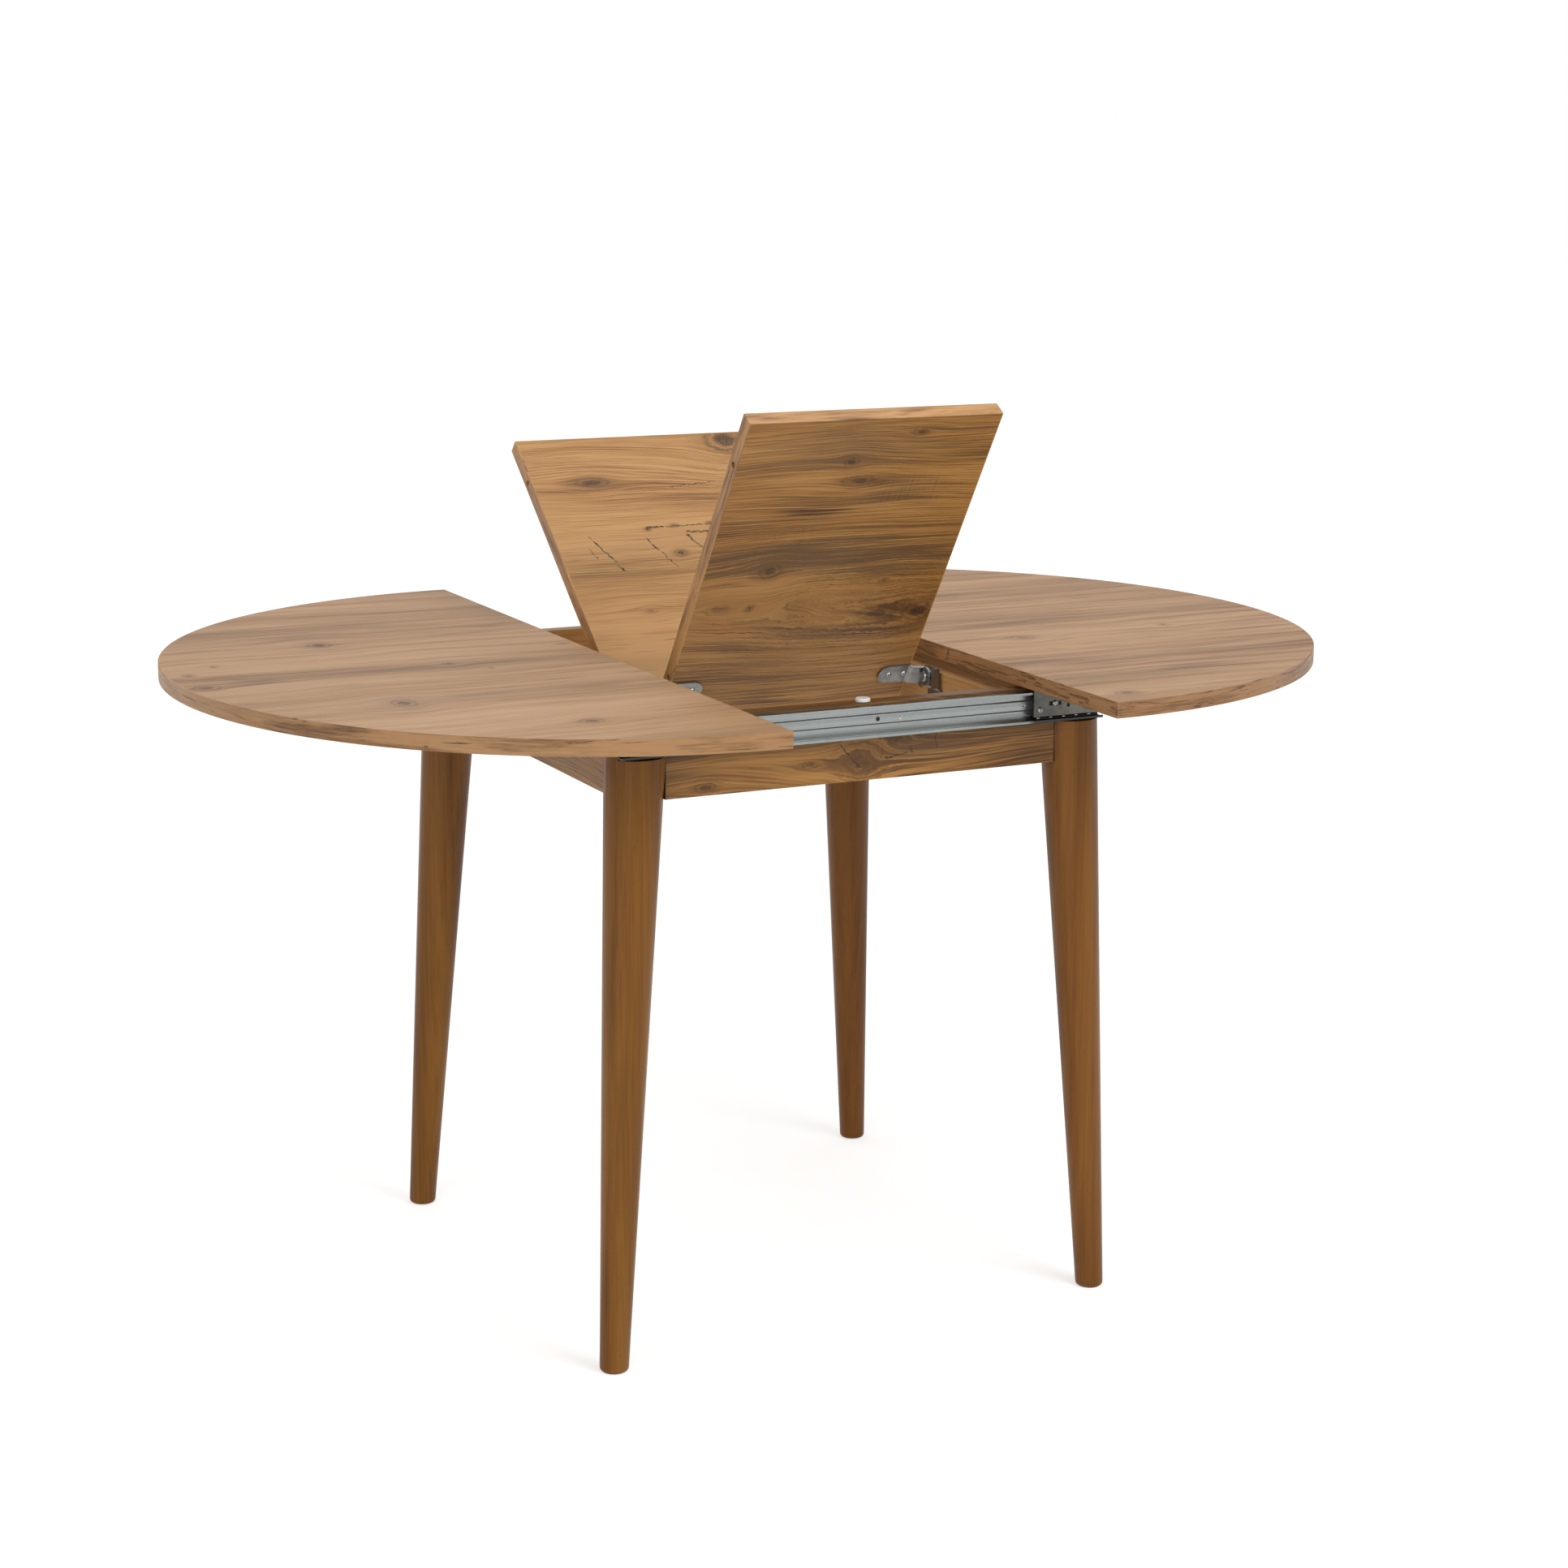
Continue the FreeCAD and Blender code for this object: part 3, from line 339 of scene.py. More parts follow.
# %% Printed pine
FRAME_PINE = ((0.092, 0.038, 0.009), (0.218, 0.099, 0.026), (0.385, 0.184, 0.047),
              (0.500, 0.262, 0.084))
LEAF_PINE = ((0.100, 0.043, 0.012), (0.230, 0.106, 0.032), (0.392, 0.194, 0.060),
             (0.520, 0.284, 0.108))
TOP_PINE = ((0.142, 0.073, 0.034), (0.258, 0.140, 0.069), (0.408, 0.236, 0.120),
            (0.490, 0.298, 0.168))
PINE_STOPS = (0.18, 0.38, 0.56, 0.80)
PINE_GREY = (0.165, 0.100, 0.046)
PINE_KNOT = (0.030, 0.015, 0.007)
BOARD = 0.018
SIDE_SHARE = 0.7
CRACK_DEPTH_FADE = (-0.5 * BOARD * SIDE_SHARE, -0.4 * BOARD * SIDE_SHARE)

# A grain is: scale along and across, a shift that keeps noises apart, detail,
# roughness and distortion. Rings are: how many to a metre, how far they wander,
# counted in rings, and the grain of that wandering.
SWAY_GRAIN = (2.0, 4.5, 0.0, 2.0, 0.5, 0.0)
BROAD_GRAIN = (0.8, 10.0, 3.1, 2.0, 0.55, 0.0)
STREAK_GRAIN = (2.6, 75.0, 7.7, 4.0, 0.62, 0.2)
FIBRE_GRAIN = (7.0, 520.0, 11.9, 3.0, 0.65, 0.0)
GREY_GRAIN = (1.2, 8.0, 21.3, 3.0, 0.55, 0.0)
SEAM_GRAIN = (2.4, 130.0, 31.7, 4.0, 0.7, 0.5)
PORE_GRAIN = (12.0, 640.0, 41.1, 2.0, 0.5, 0.0)
VIVID_GRAIN = (1.1, 14.0, 61.0, 2.0, 0.55, 0.0)
WIDE_RINGS = (125.0, 5.0, (1.6, 9.0, 51.0, 2.0, 0.55, 0.0))
FINE_RINGS = (300.0, 9.0, (1.6, 9.0, 57.0, 2.0, 0.55, 0.0))
TOOTH_SCALES = (420.0, 14.0)

SWAY = 0.045
RING_RISE, RING_STOP, WIDE_RING_SHARE = (0.15, 0.85), (0.90, 1.0), 0.8
VIVID_FADE, VIVID_LEAST = (0.38, 0.66), 0.15
BROAD_SHARE, STREAK_SHARE, FIBRE_SHARE, TONE_MIDDLE = 0.75, 0.70, 0.95, 0.58
RAGGED_FIBRE, RAGGED_STREAK, RAGGED_START = 2.6, 2.4, -2.5
TOOTH_FADE = (0.50, 0.66)
GREY_FADE = (0.50, 0.74)
SEAM_FADE, PORE_FADE, LINE_DARK = (0.665, 0.73), (0.63, 0.72), 0.60
HALO_SHARE = 0.42
SPECK_SCALE, SPECK_FADE, SPECK_LEAST = 480.0, (0.36, 0.62), 0.45
SHADOW_START, SHADOW_FULL, SHADOW_DARK = 0.0022, 0.0010, 0.92
PORE_RELIEF, FIBRE_RELIEF, PINE_BUMP, PRINT_DEPTH = -1.2, 0.6, 0.22, 0.0004
PINE_ROUGH_FADE, PINE_ROUGH_SPAN, PINE_SHINE = (0.2, 0.8), 0.05, 0.30


def printed_pine(name, seed, order="xyz", face=0.0, place=AT_ORIGIN, knots=(), cracks=(),
                 stains=(), saws=(), greys=(), colors=FRAME_PINE, gold_and_light=0.0, grey=0.5,
                 rings=0.26, uneven=0.9, rough=0.45, end=None):
    """Printed pine for one board. The order names its axes: along the grain, over its
    width, and through it. Across is the width plus a share of the depth behind the
    face, so that the narrow sides carry grain too. Stains, saws and greys are spots:
    dark ones, ones crossed by saw marks, and grey ones. Gold lifts the tone of the
    whole board: partly the print's own tone, on the front apron painted shade and on
    the pivot rails painted light. Grey is the strength of its own grey patches, rings
    that of its growth rings, uneven that of its knots' outlines, and end is where a
    painted shadow lies."""
    wiring = Wiring(name)
    axes = dict(zip("xyz", wiring.split(wiring.place(*place))))
    along, width, through = (axes[letter] for letter in order)
    depth = wiring.math("MULTIPLY", wiring.math("SUBTRACT", through, face), SIDE_SHARE)
    across = wiring.math("ADD", width, depth)
    flat = wiring.join(along, across)

    def scaled(crosswise, along_scale, across_scale, height):
        return wiring.join(wiring.math("MULTIPLY", along, along_scale),
                           wiring.math("MULTIPLY", crosswise, across_scale), height)

    def grain(crosswise, along_scale, across_scale, shift, *look):
        return wiring.noise(scaled(crosswise, along_scale, across_scale, seed + shift), 1.0, *look)

    push, halo, core = knot_field(wiring, flat, knots, uneven) if knots else (0.0, 0.0, 0.0)
    sway = grain(across, *SWAY_GRAIN)
    bent = wiring.math("ADD", wiring.math("MULTIPLY_ADD", sway, SWAY, across), push)

    def ring(rate, wander, drift_grain):
        drift = wiring.math("MULTIPLY", grain(bent, *drift_grain), wander)
        tooth = wiring.math("FRACT", wiring.math("MULTIPLY_ADD", bent, rate, drift))
        return wiring.math("MULTIPLY", wiring.step(tooth, *RING_RISE),
                           wiring.step(tooth, *RING_STOP, 1.0, 0.0))

    broad = grain(bent, *BROAD_GRAIN)
    streak = grain(bent, *STREAK_GRAIN)
    fibre = grain(bent, *FIBRE_GRAIN)
    late = wiring.math("MAXIMUM", wiring.math("MULTIPLY", ring(*WIDE_RINGS), WIDE_RING_SHARE),
                       ring(*FINE_RINGS))
    vivid = wiring.step(grain(bent, *VIVID_GRAIN), *VIVID_FADE, VIVID_LEAST, 1.0)
    late = wiring.math("MULTIPLY", late, wiring.math("MAXIMUM", vivid, halo))
    tone = wiring.math("MULTIPLY_ADD", broad, BROAD_SHARE,
                       wiring.math("MULTIPLY", streak, STREAK_SHARE))
    tone = wiring.math("MULTIPLY_ADD", fibre, FIBRE_SHARE, tone)
    tone = wiring.math("MULTIPLY_ADD", late, -rings, tone)
    tone = wiring.math("ADD", tone, gold_and_light - TONE_MIDDLE)

    ragged = wiring.math("MULTIPLY_ADD", streak, RAGGED_STREAK, RAGGED_START)
    ragged = wiring.math("MULTIPLY_ADD", fibre, RAGGED_FIBRE, ragged)
    if stains:
        tone = wiring.math("SUBTRACT", tone, spot_field(wiring, flat, stains, ragged))
    if saws:
        teeth = wiring.step(wiring.noise(scaled(across, *TOOTH_SCALES, 0.0)), *TOOTH_FADE)
        teeth = wiring.math("MULTIPLY", teeth, spot_field(wiring, flat, saws, ragged))
        tone = wiring.math("SUBTRACT", tone, teeth)

    dark, brown, _, _ = colors
    color = wiring.ramp(tone, tuple(zip(PINE_STOPS, colors)))
    dull = wiring.step(grain(bent, *GREY_GRAIN), *GREY_FADE, 0.0, grey)
    if greys:
        dull = wiring.math("MAXIMUM", dull, spot_field(wiring, flat, greys, ragged))
    color = wiring.mix(dull, color, PINE_GREY)
    seams = wiring.step(grain(bent, *SEAM_GRAIN), *SEAM_FADE, 0.0, LINE_DARK)
    color = wiring.mix(seams, color, dark)
    pores = wiring.step(grain(bent, *PORE_GRAIN), *PORE_FADE, 0.0, LINE_DARK)
    color = wiring.mix(pores, color, dark)
    if knots:
        color = wiring.mix(wiring.math("MULTIPLY", halo, HALO_SHARE), color, brown)
        speck = wiring.noise(flat, SPECK_SCALE, detail=4.0, roughness=0.7)
        speck = wiring.step(speck, *SPECK_FADE, SPECK_LEAST, 1.0)
        color = wiring.mix(wiring.math("MULTIPLY", core, speck), color, PINE_KNOT)
    if cracks:
        near_face = wiring.step(depth, *CRACK_DEPTH_FADE)
        line = wiring.math("MULTIPLY", crack_field(wiring, along, across, cracks), near_face)
        color = wiring.mix(line, color, PINE_KNOT)
    # Painted shadow: a dark line at the board's ends, where an apron meets a leg.
    if end:
        shadow = wiring.step(wiring.math("ABSOLUTE", along), end - SHADOW_START,
                             end - SHADOW_FULL, 0.0, SHADOW_DARK)
        color = wiring.mix(shadow, color, PINE_KNOT)

    relief = wiring.math("MULTIPLY_ADD", pores, PORE_RELIEF,
                         wiring.math("MULTIPLY", fibre, FIBRE_RELIEF))
    wiring.bump(relief, PINE_BUMP, PRINT_DEPTH)
    satin = wiring.step(streak, *PINE_ROUGH_FADE, rough + PINE_ROUGH_SPAN, rough - PINE_ROUGH_SPAN)
    return wiring.finish(Base_Color=color, Roughness=satin, Specular_IOR_Level=PINE_SHINE)


print("printed pine ready")

# %% [markdown]
# ## Where the marks sit
# Every mark gives its place in its board's flat coordinates: first along the grain,
# then across, then half length, half width and strength. Across is counted from the
# table's middle on the tops and from the fold on the leaf. A negative strength is a
# lighter place. A crack gives its two ends and its half width.

# %% Boards of the top and the leaf
FRONT_LEAN, REAR_LEAN = math.radians(57.6), math.radians(40.5)
TOP_PLACE = ((0, 0, 0.75), (0, 0, 0))
FRONT_PLACE = (fold_point, (-FRONT_LEAN, 0, 0))
REAR_PLACE = (fold_point, (REAR_LEAN, 0, 0))
LEFT_KNOTS = ((-0.476, 0.167, 0.014, 0.016, 0.88), (-0.506, -0.201, 0.013, 0.018, 0.88),
              (-0.362, -0.368, 0.013, 0.012, 0.66), (-0.672, -0.037, 0.015, 0.014, 0.72),
              (-0.669, 0.039, 0.007, 0.009, 0.80), (-0.628, 0.081, 0.004, 0.006, 0.75),
              (-0.380, -0.003, 0.007, 0.008, 0.70), (-0.345, -0.044, 0.004, 0.006, 0.60))
LEFT_STAINS = ((-0.473, 0.234, 0.080, 0.020, 0.10), (-0.246, 0.213, 0.030, 0.006, 0.24),
               (-0.615, -0.025, 0.040, 0.022, 0.17), (-0.417, -0.004, 0.030, 0.008, 0.12),
               (-0.301, -0.137, 0.040, 0.007, 0.20), (-0.196, -0.134, 0.040, 0.010, 0.15),
               (-0.212, 0.069, 0.010, 0.005, 0.25), (-0.549, -0.264, 0.080, 0.016, 0.12),
               (-0.410, -0.189, 0.060, 0.012, 0.14), (-0.283, -0.193, 0.040, 0.010, 0.14),
               (-0.380, 0.120, 0.200, 0.014, 0.07), (-0.460, 0.060, 0.220, 0.018, -0.06))
RIGHT_KNOTS = ((0.234, -0.457, 0.014, 0.011, 0.72), (0.308, -0.110, 0.014, 0.011, 0.55),
               (0.517, -0.095, 0.006, 0.008, 0.70), (0.658, -0.203, 0.004, 0.006, 0.70))
RIGHT_STAINS = ((0.279, -0.092, 0.090, 0.012, 0.15), (0.592, -0.157, 0.070, 0.006, 0.20),
                (0.397, -0.346, 0.060, 0.018, 0.14), (0.535, 0.123, 0.030, 0.008, 0.12),
                (0.272, -0.282, 0.050, 0.012, 0.12), (0.316, -0.016, 0.060, 0.012, 0.12),
                (0.330, -0.200, 0.200, 0.020, -0.06))
FRONT_KNOTS = ((0.059, -0.479, 0.009, 0.004, 0.85), (-0.016, -0.441, 0.009, 0.006, 0.85),
               (0.000, -0.414, 0.020, 0.007, 0.72), (-0.073, -0.289, 0.013, 0.010, 0.80),
               (0.078, -0.264, 0.006, 0.004, 0.75), (0.083, -0.215, 0.024, 0.010, 0.66),
               (0.137, -0.213, 0.020, 0.013, 0.95), (-0.084, -0.236, 0.005, 0.004, 0.85),
               (-0.025, -0.228, 0.020, 0.012, 0.16), (0.031, -0.219, 0.018, 0.009, 0.16),
               (-0.124, -0.237, 0.014, 0.008, 0.20))
FRONT_STAINS = ((-0.020, -0.474, 0.170, 0.018, 0.10), (-0.040, -0.374, 0.055, 0.009, 0.26),
                (0.105, -0.215, 0.055, 0.014, 0.20), (0.000, -0.414, 0.060, 0.006, 0.14),
                (0.000, -0.304, 0.200, 0.036, 0.19), (0.090, -0.310, 0.070, 0.020, 0.10),
                (0.002, -0.186, 0.180, 0.016, 0.11), (-0.040, -0.092, 0.060, 0.009, 0.30),
                (-0.124, -0.237, 0.024, 0.006, 0.16), (0.060, -0.395, 0.060, 0.022, 0.12),
                (-0.020, -0.258, 0.160, 0.012, -0.10), (-0.010, -0.155, 0.200, 0.042, 0.09),
                (0.020, -0.050, 0.180, 0.030, -0.07), (-0.070, -0.430, 0.060, 0.014, -0.05),
                (0.010, -0.388, 0.130, 0.018, 0.10))
FRONT_SAWS = ((0.066, -0.398, 0.060, 0.036, 0.08), (-0.050, -0.330, 0.060, 0.030, 0.04))
FRONT_GREYS = ((-0.020, -0.464, 0.170, 0.034, 0.36), (0.010, -0.302, 0.200, 0.036, 0.55),
               (0.040, -0.186, 0.160, 0.016, 0.25), (0.060, -0.395, 0.070, 0.020, 0.25))
REAR_KNOTS = ((0.128, 0.486, 0.027, 0.019, 1.0), (-0.075, 0.425, 0.022, 0.008, 0.80),
              (0.003, 0.303, 0.008, 0.005, 1.0), (0.009, 0.348, 0.006, 0.0025, 0.9),
              (-0.028, 0.344, 0.0035, 0.0025, 1.0), (0.059, 0.349, 0.005, 0.0025, 1.0),
              (-0.068, 0.214, 0.009, 0.004, 0.6))
REAR_STAINS = ((-0.060, 0.425, 0.100, 0.020, 0.12), (-0.090, 0.424, 0.050, 0.006, 0.14),
               (-0.066, 0.216, 0.060, 0.005, 0.17), (-0.054, 0.180, 0.030, 0.005, 0.16),
               (-0.020, 0.280, 0.120, 0.010, 0.07), (-0.060, 0.235, 0.110, 0.030, -0.10),
               (-0.050, 0.110, 0.130, 0.065, -0.26), (0.000, 0.460, 0.120, 0.014, -0.05),
               (0.060, 0.395, 0.080, 0.010, 0.06), (-0.030, 0.190, 0.120, 0.028, -0.10),
               (-0.020, 0.295, 0.120, 0.024, 0.06))
REAR_CRACKS = (
    ((-0.110, 0.338), (-0.085, 0.292), 0.0013), ((-0.087, 0.290), (-0.078, 0.276), 0.0011),
    ((-0.036, 0.330), (-0.006, 0.279), 0.0010), ((0.020, 0.335), (0.042, 0.298), 0.0016),
    ((0.021, 0.337), (0.057, 0.335), 0.0014), ((-0.031, 0.346), (0.066, 0.348), 0.0011),
    ((0.025, 0.412), (0.091, 0.417), 0.0010), ((-0.115, 0.318), (-0.108, 0.300), 0.0008))

dress(printed_pine("pine_left_top", 1.0, place=TOP_PLACE, knots=LEFT_KNOTS, stains=LEFT_STAINS,
                   colors=TOP_PINE, gold_and_light=0.02, rings=0.17, uneven=0.35, rough=0.58), "left_top")
dress(printed_pine("pine_right_top", 2.0, place=TOP_PLACE, knots=RIGHT_KNOTS, stains=RIGHT_STAINS,
                   colors=TOP_PINE, gold_and_light=-0.05, rings=0.16, uneven=0.35, rough=0.58), "right_top")
dress(printed_pine("pine_leaf_front", 3.0, place=FRONT_PLACE, face=-BOARD, knots=FRONT_KNOTS,
                   stains=FRONT_STAINS, saws=FRONT_SAWS, greys=FRONT_GREYS, gold_and_light=0.01, grey=0.15),
      "leaf_front_panel")
dress(printed_pine("pine_leaf_rear", 4.0, place=REAR_PLACE, knots=REAR_KNOTS, stains=REAR_STAINS,
                   cracks=REAR_CRACKS, colors=LEAF_PINE, gold_and_light=0.10, grey=0.25, uneven=0.6),
      "leaf_rear_panel")

# %% [markdown]
# ## Aprons and pivot rails
# The same foil wraps the frame's boards. Each has a seed of its own, so that no two
# boards repeat. The boards that run from front to rear carry their grain that way.
# Where an apron's end meets a leg, a dark line of painted shadow stands for the shadow in the seam.

# %% Frame boards
APRON_KNOTS = ((-0.196, 0.649, 0.013, 0.005, 0.85), (-0.006, 0.662, 0.020, 0.014, 0.42),
               (-0.069, 0.663, 0.010, 0.003, 0.60), (0.042, 0.682, 0.012, 0.005, 0.55))
APRON_STAINS = ((0.020, 0.668, 0.075, 0.024, 0.14), (0.129, 0.672, 0.130, 0.010, 0.14),
                (0.110, 0.652, 0.140, 0.010, 0.07), (-0.140, 0.672, 0.080, 0.010, -0.08),
                (0.060, 0.672, 0.016, 0.008, -0.12), (-0.060, 0.650, 0.060, 0.008, -0.08))
APRON_CRACKS = (
    ((0.019, 0.662), (0.056, 0.668), 0.0011), ((0.056, 0.677), (0.060, 0.664), 0.0011),
    ((0.059, 0.687), (0.090, 0.690), 0.0009), ((0.088, 0.690), (0.091, 0.668), 0.0009),
    ((-0.033, 0.683), (-0.005, 0.654), 0.0009), ((0.022, 0.677), (0.019, 0.660), 0.0009))
FRONT_FACE, SIDE_FACE = 0.293, 0.296
FRONT_END, SIDE_END = 0.2445, 0.2475
# Painted shade: the front apron's print is lowered to darken it, as in the top's shadow.
dress(printed_pine("pine_apron_front", 5.0, "xzy", -FRONT_FACE, knots=APRON_KNOTS,
                   stains=APRON_STAINS, cracks=APRON_CRACKS, gold_and_light=-0.19, grey=0.65, end=FRONT_END),
      "apron_front")
dress(printed_pine("pine_apron_rear", 6.0, "xzy", FRONT_FACE, end=FRONT_END), "apron_rear")
dress(printed_pine("pine_apron_left", 7.0, "yzx", -SIDE_FACE, end=SIDE_END), "apron_left")
dress(printed_pine("pine_apron_right", 8.0, "yzx", SIDE_FACE, end=SIDE_END), "apron_right")
# Painted light: the pivot rails are lifted far lighter, against the shade inside the frame.
for side, seed in (("left", 9.0), ("right", 10.0)):
    dress(printed_pine("pine_rail_" + side, seed, "yzx", colors=LEAF_PINE, gold_and_light=0.28, grey=0.2),
          "pivot_rail_" + side)

# %% [markdown]
# ## Edge bands
# The cut edges wear a printed band 1 mm thick. Its print follows the edge: slow
# along it and quick over its height, with brown streaks like split pine. Round the
# halves the band bends, so the noise is three-dimensional and only squeezed in z.

# %% Edge bands
BAND_DARK = (0.130, 0.056, 0.019)
BAND_MIDDLE = (0.280, 0.138, 0.050)
BAND_LIGHT = (0.400, 0.212, 0.088)
BAND_STOPS, BAND_TONE_START = (0.31, 0.43, 0.58), 0.2
SLOW_SCALES, LINE_SCALES, SPLIT_SCALES = (7, 7, 70), (22, 22, 420), (12, 12, 190)
SLOW_LOOK, LINE_LOOK, SPLIT_LOOK = (4.0, 0.6, 0.8), (4.0, 0.65, 0.5), (5.0, 0.7, 1.2)
SLOW_SHARE, LINE_SHARE = 0.9, 0.5
SPLIT_WIDTH, SPLIT_DARK = 0.05, 0.85
CUT_FADE, CUT_GOLD, CUT_WORN = 0.0004, 0.6, 0.80
BAND_BUMP = 0.2
ROUGH_FADE, BAND_ROUGH = (0.3, 0.7), (0.52, 0.42)
SEED_TURN = 0.7
RIGHT_CUT = 0.1962
RIGHT_TINT, LEAF_TINT_AND_LIGHT = (0.88, 0.83, 0.77), (1.30, 1.27, 1.02)


def edge_band(name, seed, place=AT_ORIGIN, tint=(1, 1, 1), splits=0.62, cut=None):
    """Band print: noise slow in x and y and fast in z, sorted into three browns, and
    dark where a third noise passes the number called splits. On the straight run
    below x = cut it is more golden, with darker patches."""
    wiring = Wiring(name)
    flat = wiring.place(*place)
    moved = wiring.shift(flat, (seed, seed * SEED_TURN, 0))
    slow = wiring.noise(wiring.stretch(moved, SLOW_SCALES), 1.0, *SLOW_LOOK)
    lines = wiring.noise(wiring.stretch(moved, LINE_SCALES), 1.0, *LINE_LOOK)
    split = wiring.noise(wiring.stretch(moved, SPLIT_SCALES), 1.0, *SPLIT_LOOK)
    tone = wiring.math("ADD", wiring.math("MULTIPLY", slow, SLOW_SHARE),
                       wiring.math("MULTIPLY", lines, LINE_SHARE))
    colors = tinted((BAND_DARK, BAND_MIDDLE, BAND_LIGHT), tint)
    color = wiring.ramp(wiring.math("SUBTRACT", tone, BAND_TONE_START),
                        tuple(zip(BAND_STOPS, colors)))
    opened = wiring.step(split, splits, splits + SPLIT_WIDTH, 0.0, SPLIT_DARK)
    color = wiring.mix(opened, color, PINE_KNOT)
    if cut:
        straight = wiring.step(wiring.split(flat)[0], cut, cut + CUT_FADE, 1.0, 0.0)
        worn = wiring.step(split, splits - SPLIT_WIDTH, splits, 0.0, CUT_WORN)
        color = wiring.mix(wiring.math("MULTIPLY", straight, CUT_GOLD), color, BAND_LIGHT)
        color = wiring.mix(wiring.math("MULTIPLY", straight, worn), color, BAND_DARK)
    wiring.bump(lines, BAND_BUMP, PRINT_DEPTH)
    return wiring.finish(Base_Color=color, Roughness=wiring.step(lines, *ROUGH_FADE, *BAND_ROUGH))


dress(edge_band("band_left_top", 1.3), "left_top_edging")
dress(edge_band("band_right_top", 2.9, tint=RIGHT_TINT, splits=0.56, cut=RIGHT_CUT),
      "right_top_edging")
# Painted light: the leaf's bands are lifted lighter than the tops' bands, against the shade on the
# leaf's edges.
dress(edge_band("band_leaf_front", 4.1, FRONT_PLACE, LEAF_TINT_AND_LIGHT), "leaf_front_edging")
dress(edge_band("band_leaf_rear", 5.7, REAR_PLACE, LEAF_TINT_AND_LIGHT), "leaf_rear_edging")

# %% [markdown]
# ## Stained beech legs
# The legs are turned from solid beech and stained a warm reddish brown under a
# satin lacquer. Beech is even, with faint darker bands down the leg and short fine
# flecks. The lacquer is a thin clear coat.

# %% Legs
BEECH_DARK = (0.122, 0.044, 0.0040)
BEECH_MIDDLE = (0.190, 0.071, 0.007)
BEECH_LIGHT = (0.245, 0.100, 0.012)
BEECH_STOPS = (0.42, 0.56, 0.72)
BEECH_BANDS, BEECH_LINES, BEECH_FLECKS = (38, 38, 1.6), (320, 320, 6), (900, 900, 110)
BEECH_BAND_SHARE, BEECH_LINE_SHARE = 0.8, 0.35
FLECK_FADE, FLECK_DARK = (0.62, 0.78), 0.4
BEECH_BUMP, BEECH_DEPTH, BEECH_ROUGH = 0.08, 0.0003, (0.46, 0.36)
LEG_SEED_TURN = 1.7
LACQUER = {"Specular_IOR_Level": 0.22, "Coat_Weight": 0.05, "Coat_Roughness": 0.2}
# The leg tints are partly painted light: the left legs are lightened and the right ones darkened,
# as light falls on them.
LEG_TINTS_AND_LIGHT = {"front_left": (1.07, 1.09, 1.08), "front_right": (0.97, 0.93, 0.97),
             "rear_left": (1.08, 1.10, 1.05), "rear_right": (0.94, 0.86, 0.66)}
CORNERS = tuple(LEG_TINTS_AND_LIGHT)


def stained_beech(name, seed, tint):
    """Beech stain: noise drawn out down the leg, faint bands plus fine lines and flecks.
    Each leg has a tint: partly the stain's own difference, and partly painted light, lighter on the
    left legs and darker on the right ones."""
    wiring = Wiring(name)
    point = wiring.place((seed, seed * LEG_SEED_TURN, 0))
    bands = wiring.noise(wiring.stretch(point, BEECH_BANDS), detail=3.0, distortion=0.3)
    lines = wiring.noise(wiring.stretch(point, BEECH_LINES), detail=3.0, roughness=0.6)
    flecks = wiring.noise(wiring.stretch(point, BEECH_FLECKS), detail=1.0, roughness=0.4)
    tone = wiring.math("ADD", wiring.math("MULTIPLY", bands, BEECH_BAND_SHARE),
                       wiring.math("MULTIPLY", lines, BEECH_LINE_SHARE))
    colors = tinted((BEECH_DARK, BEECH_MIDDLE, BEECH_LIGHT), tint)
    color = wiring.ramp(tone, tuple(zip(BEECH_STOPS, colors)))
    color = wiring.mix(wiring.step(flecks, *FLECK_FADE, 0.0, FLECK_DARK), color, colors[0])
    wiring.bump(lines, BEECH_BUMP, BEECH_DEPTH)
    satin = wiring.step(bands, *ROUGH_FADE, *BEECH_ROUGH)
    return wiring.finish(Base_Color=color, Roughness=satin, **LACQUER)


for index, (corner, tint) in enumerate(LEG_TINTS_AND_LIGHT.items()):
    dress(stained_beech("beech_" + corner, index + 1.0, tint), "leg_" + corner)

# %% [markdown]
# ## Metals
# The channels are rolled from galvanised sheet: a cool grey with long rolling
# streaks and faint crystals, and black low down at their ends, painted shade where
# the tops shade the slides. The angles and brackets are bent from zinc plated plate;
# the angles' copy of it is darker, painted shade from the tops above them, and black
# low down, painted shade too. Screws and balls are bright. Roughness carries the
# difference more than colour does, because a metal shows mostly what it mirrors.

# %% Metals
SHADE_BLACK = (0.012, 0.011, 0.010)
CRYSTAL_SCALE, STAIN_SCALES = 260.0, (9, 30, 30)
CHANNEL_STREAKS, PLATE_STREAKS, SCREW_STREAKS = (2, 90, 300), (40, 40, 40), (200, 200, 200)
STREAK_TONE, STAIN_TONE, SHADE_FADE = 0.8, 0.3, (0.35, 0.80)
STEEL_ROUGH_FADE = (0.3, 0.8)
STEEL_BUMP, STEEL_DEPTH, STEEL_EDGE = 0.10, 0.0003, 0.0005
PATCHY_SHADE_FADE, PATCHY_SHADE_DARK = (0.40, 0.60), 0.45
SHADE_SIDE_WANDER, SHADE_SIDE_FADE = 0.03, (-0.006, 0.008)
SHADE_TOP_WANDER, SHADE_TOP_FADE = 0.004, 0.002


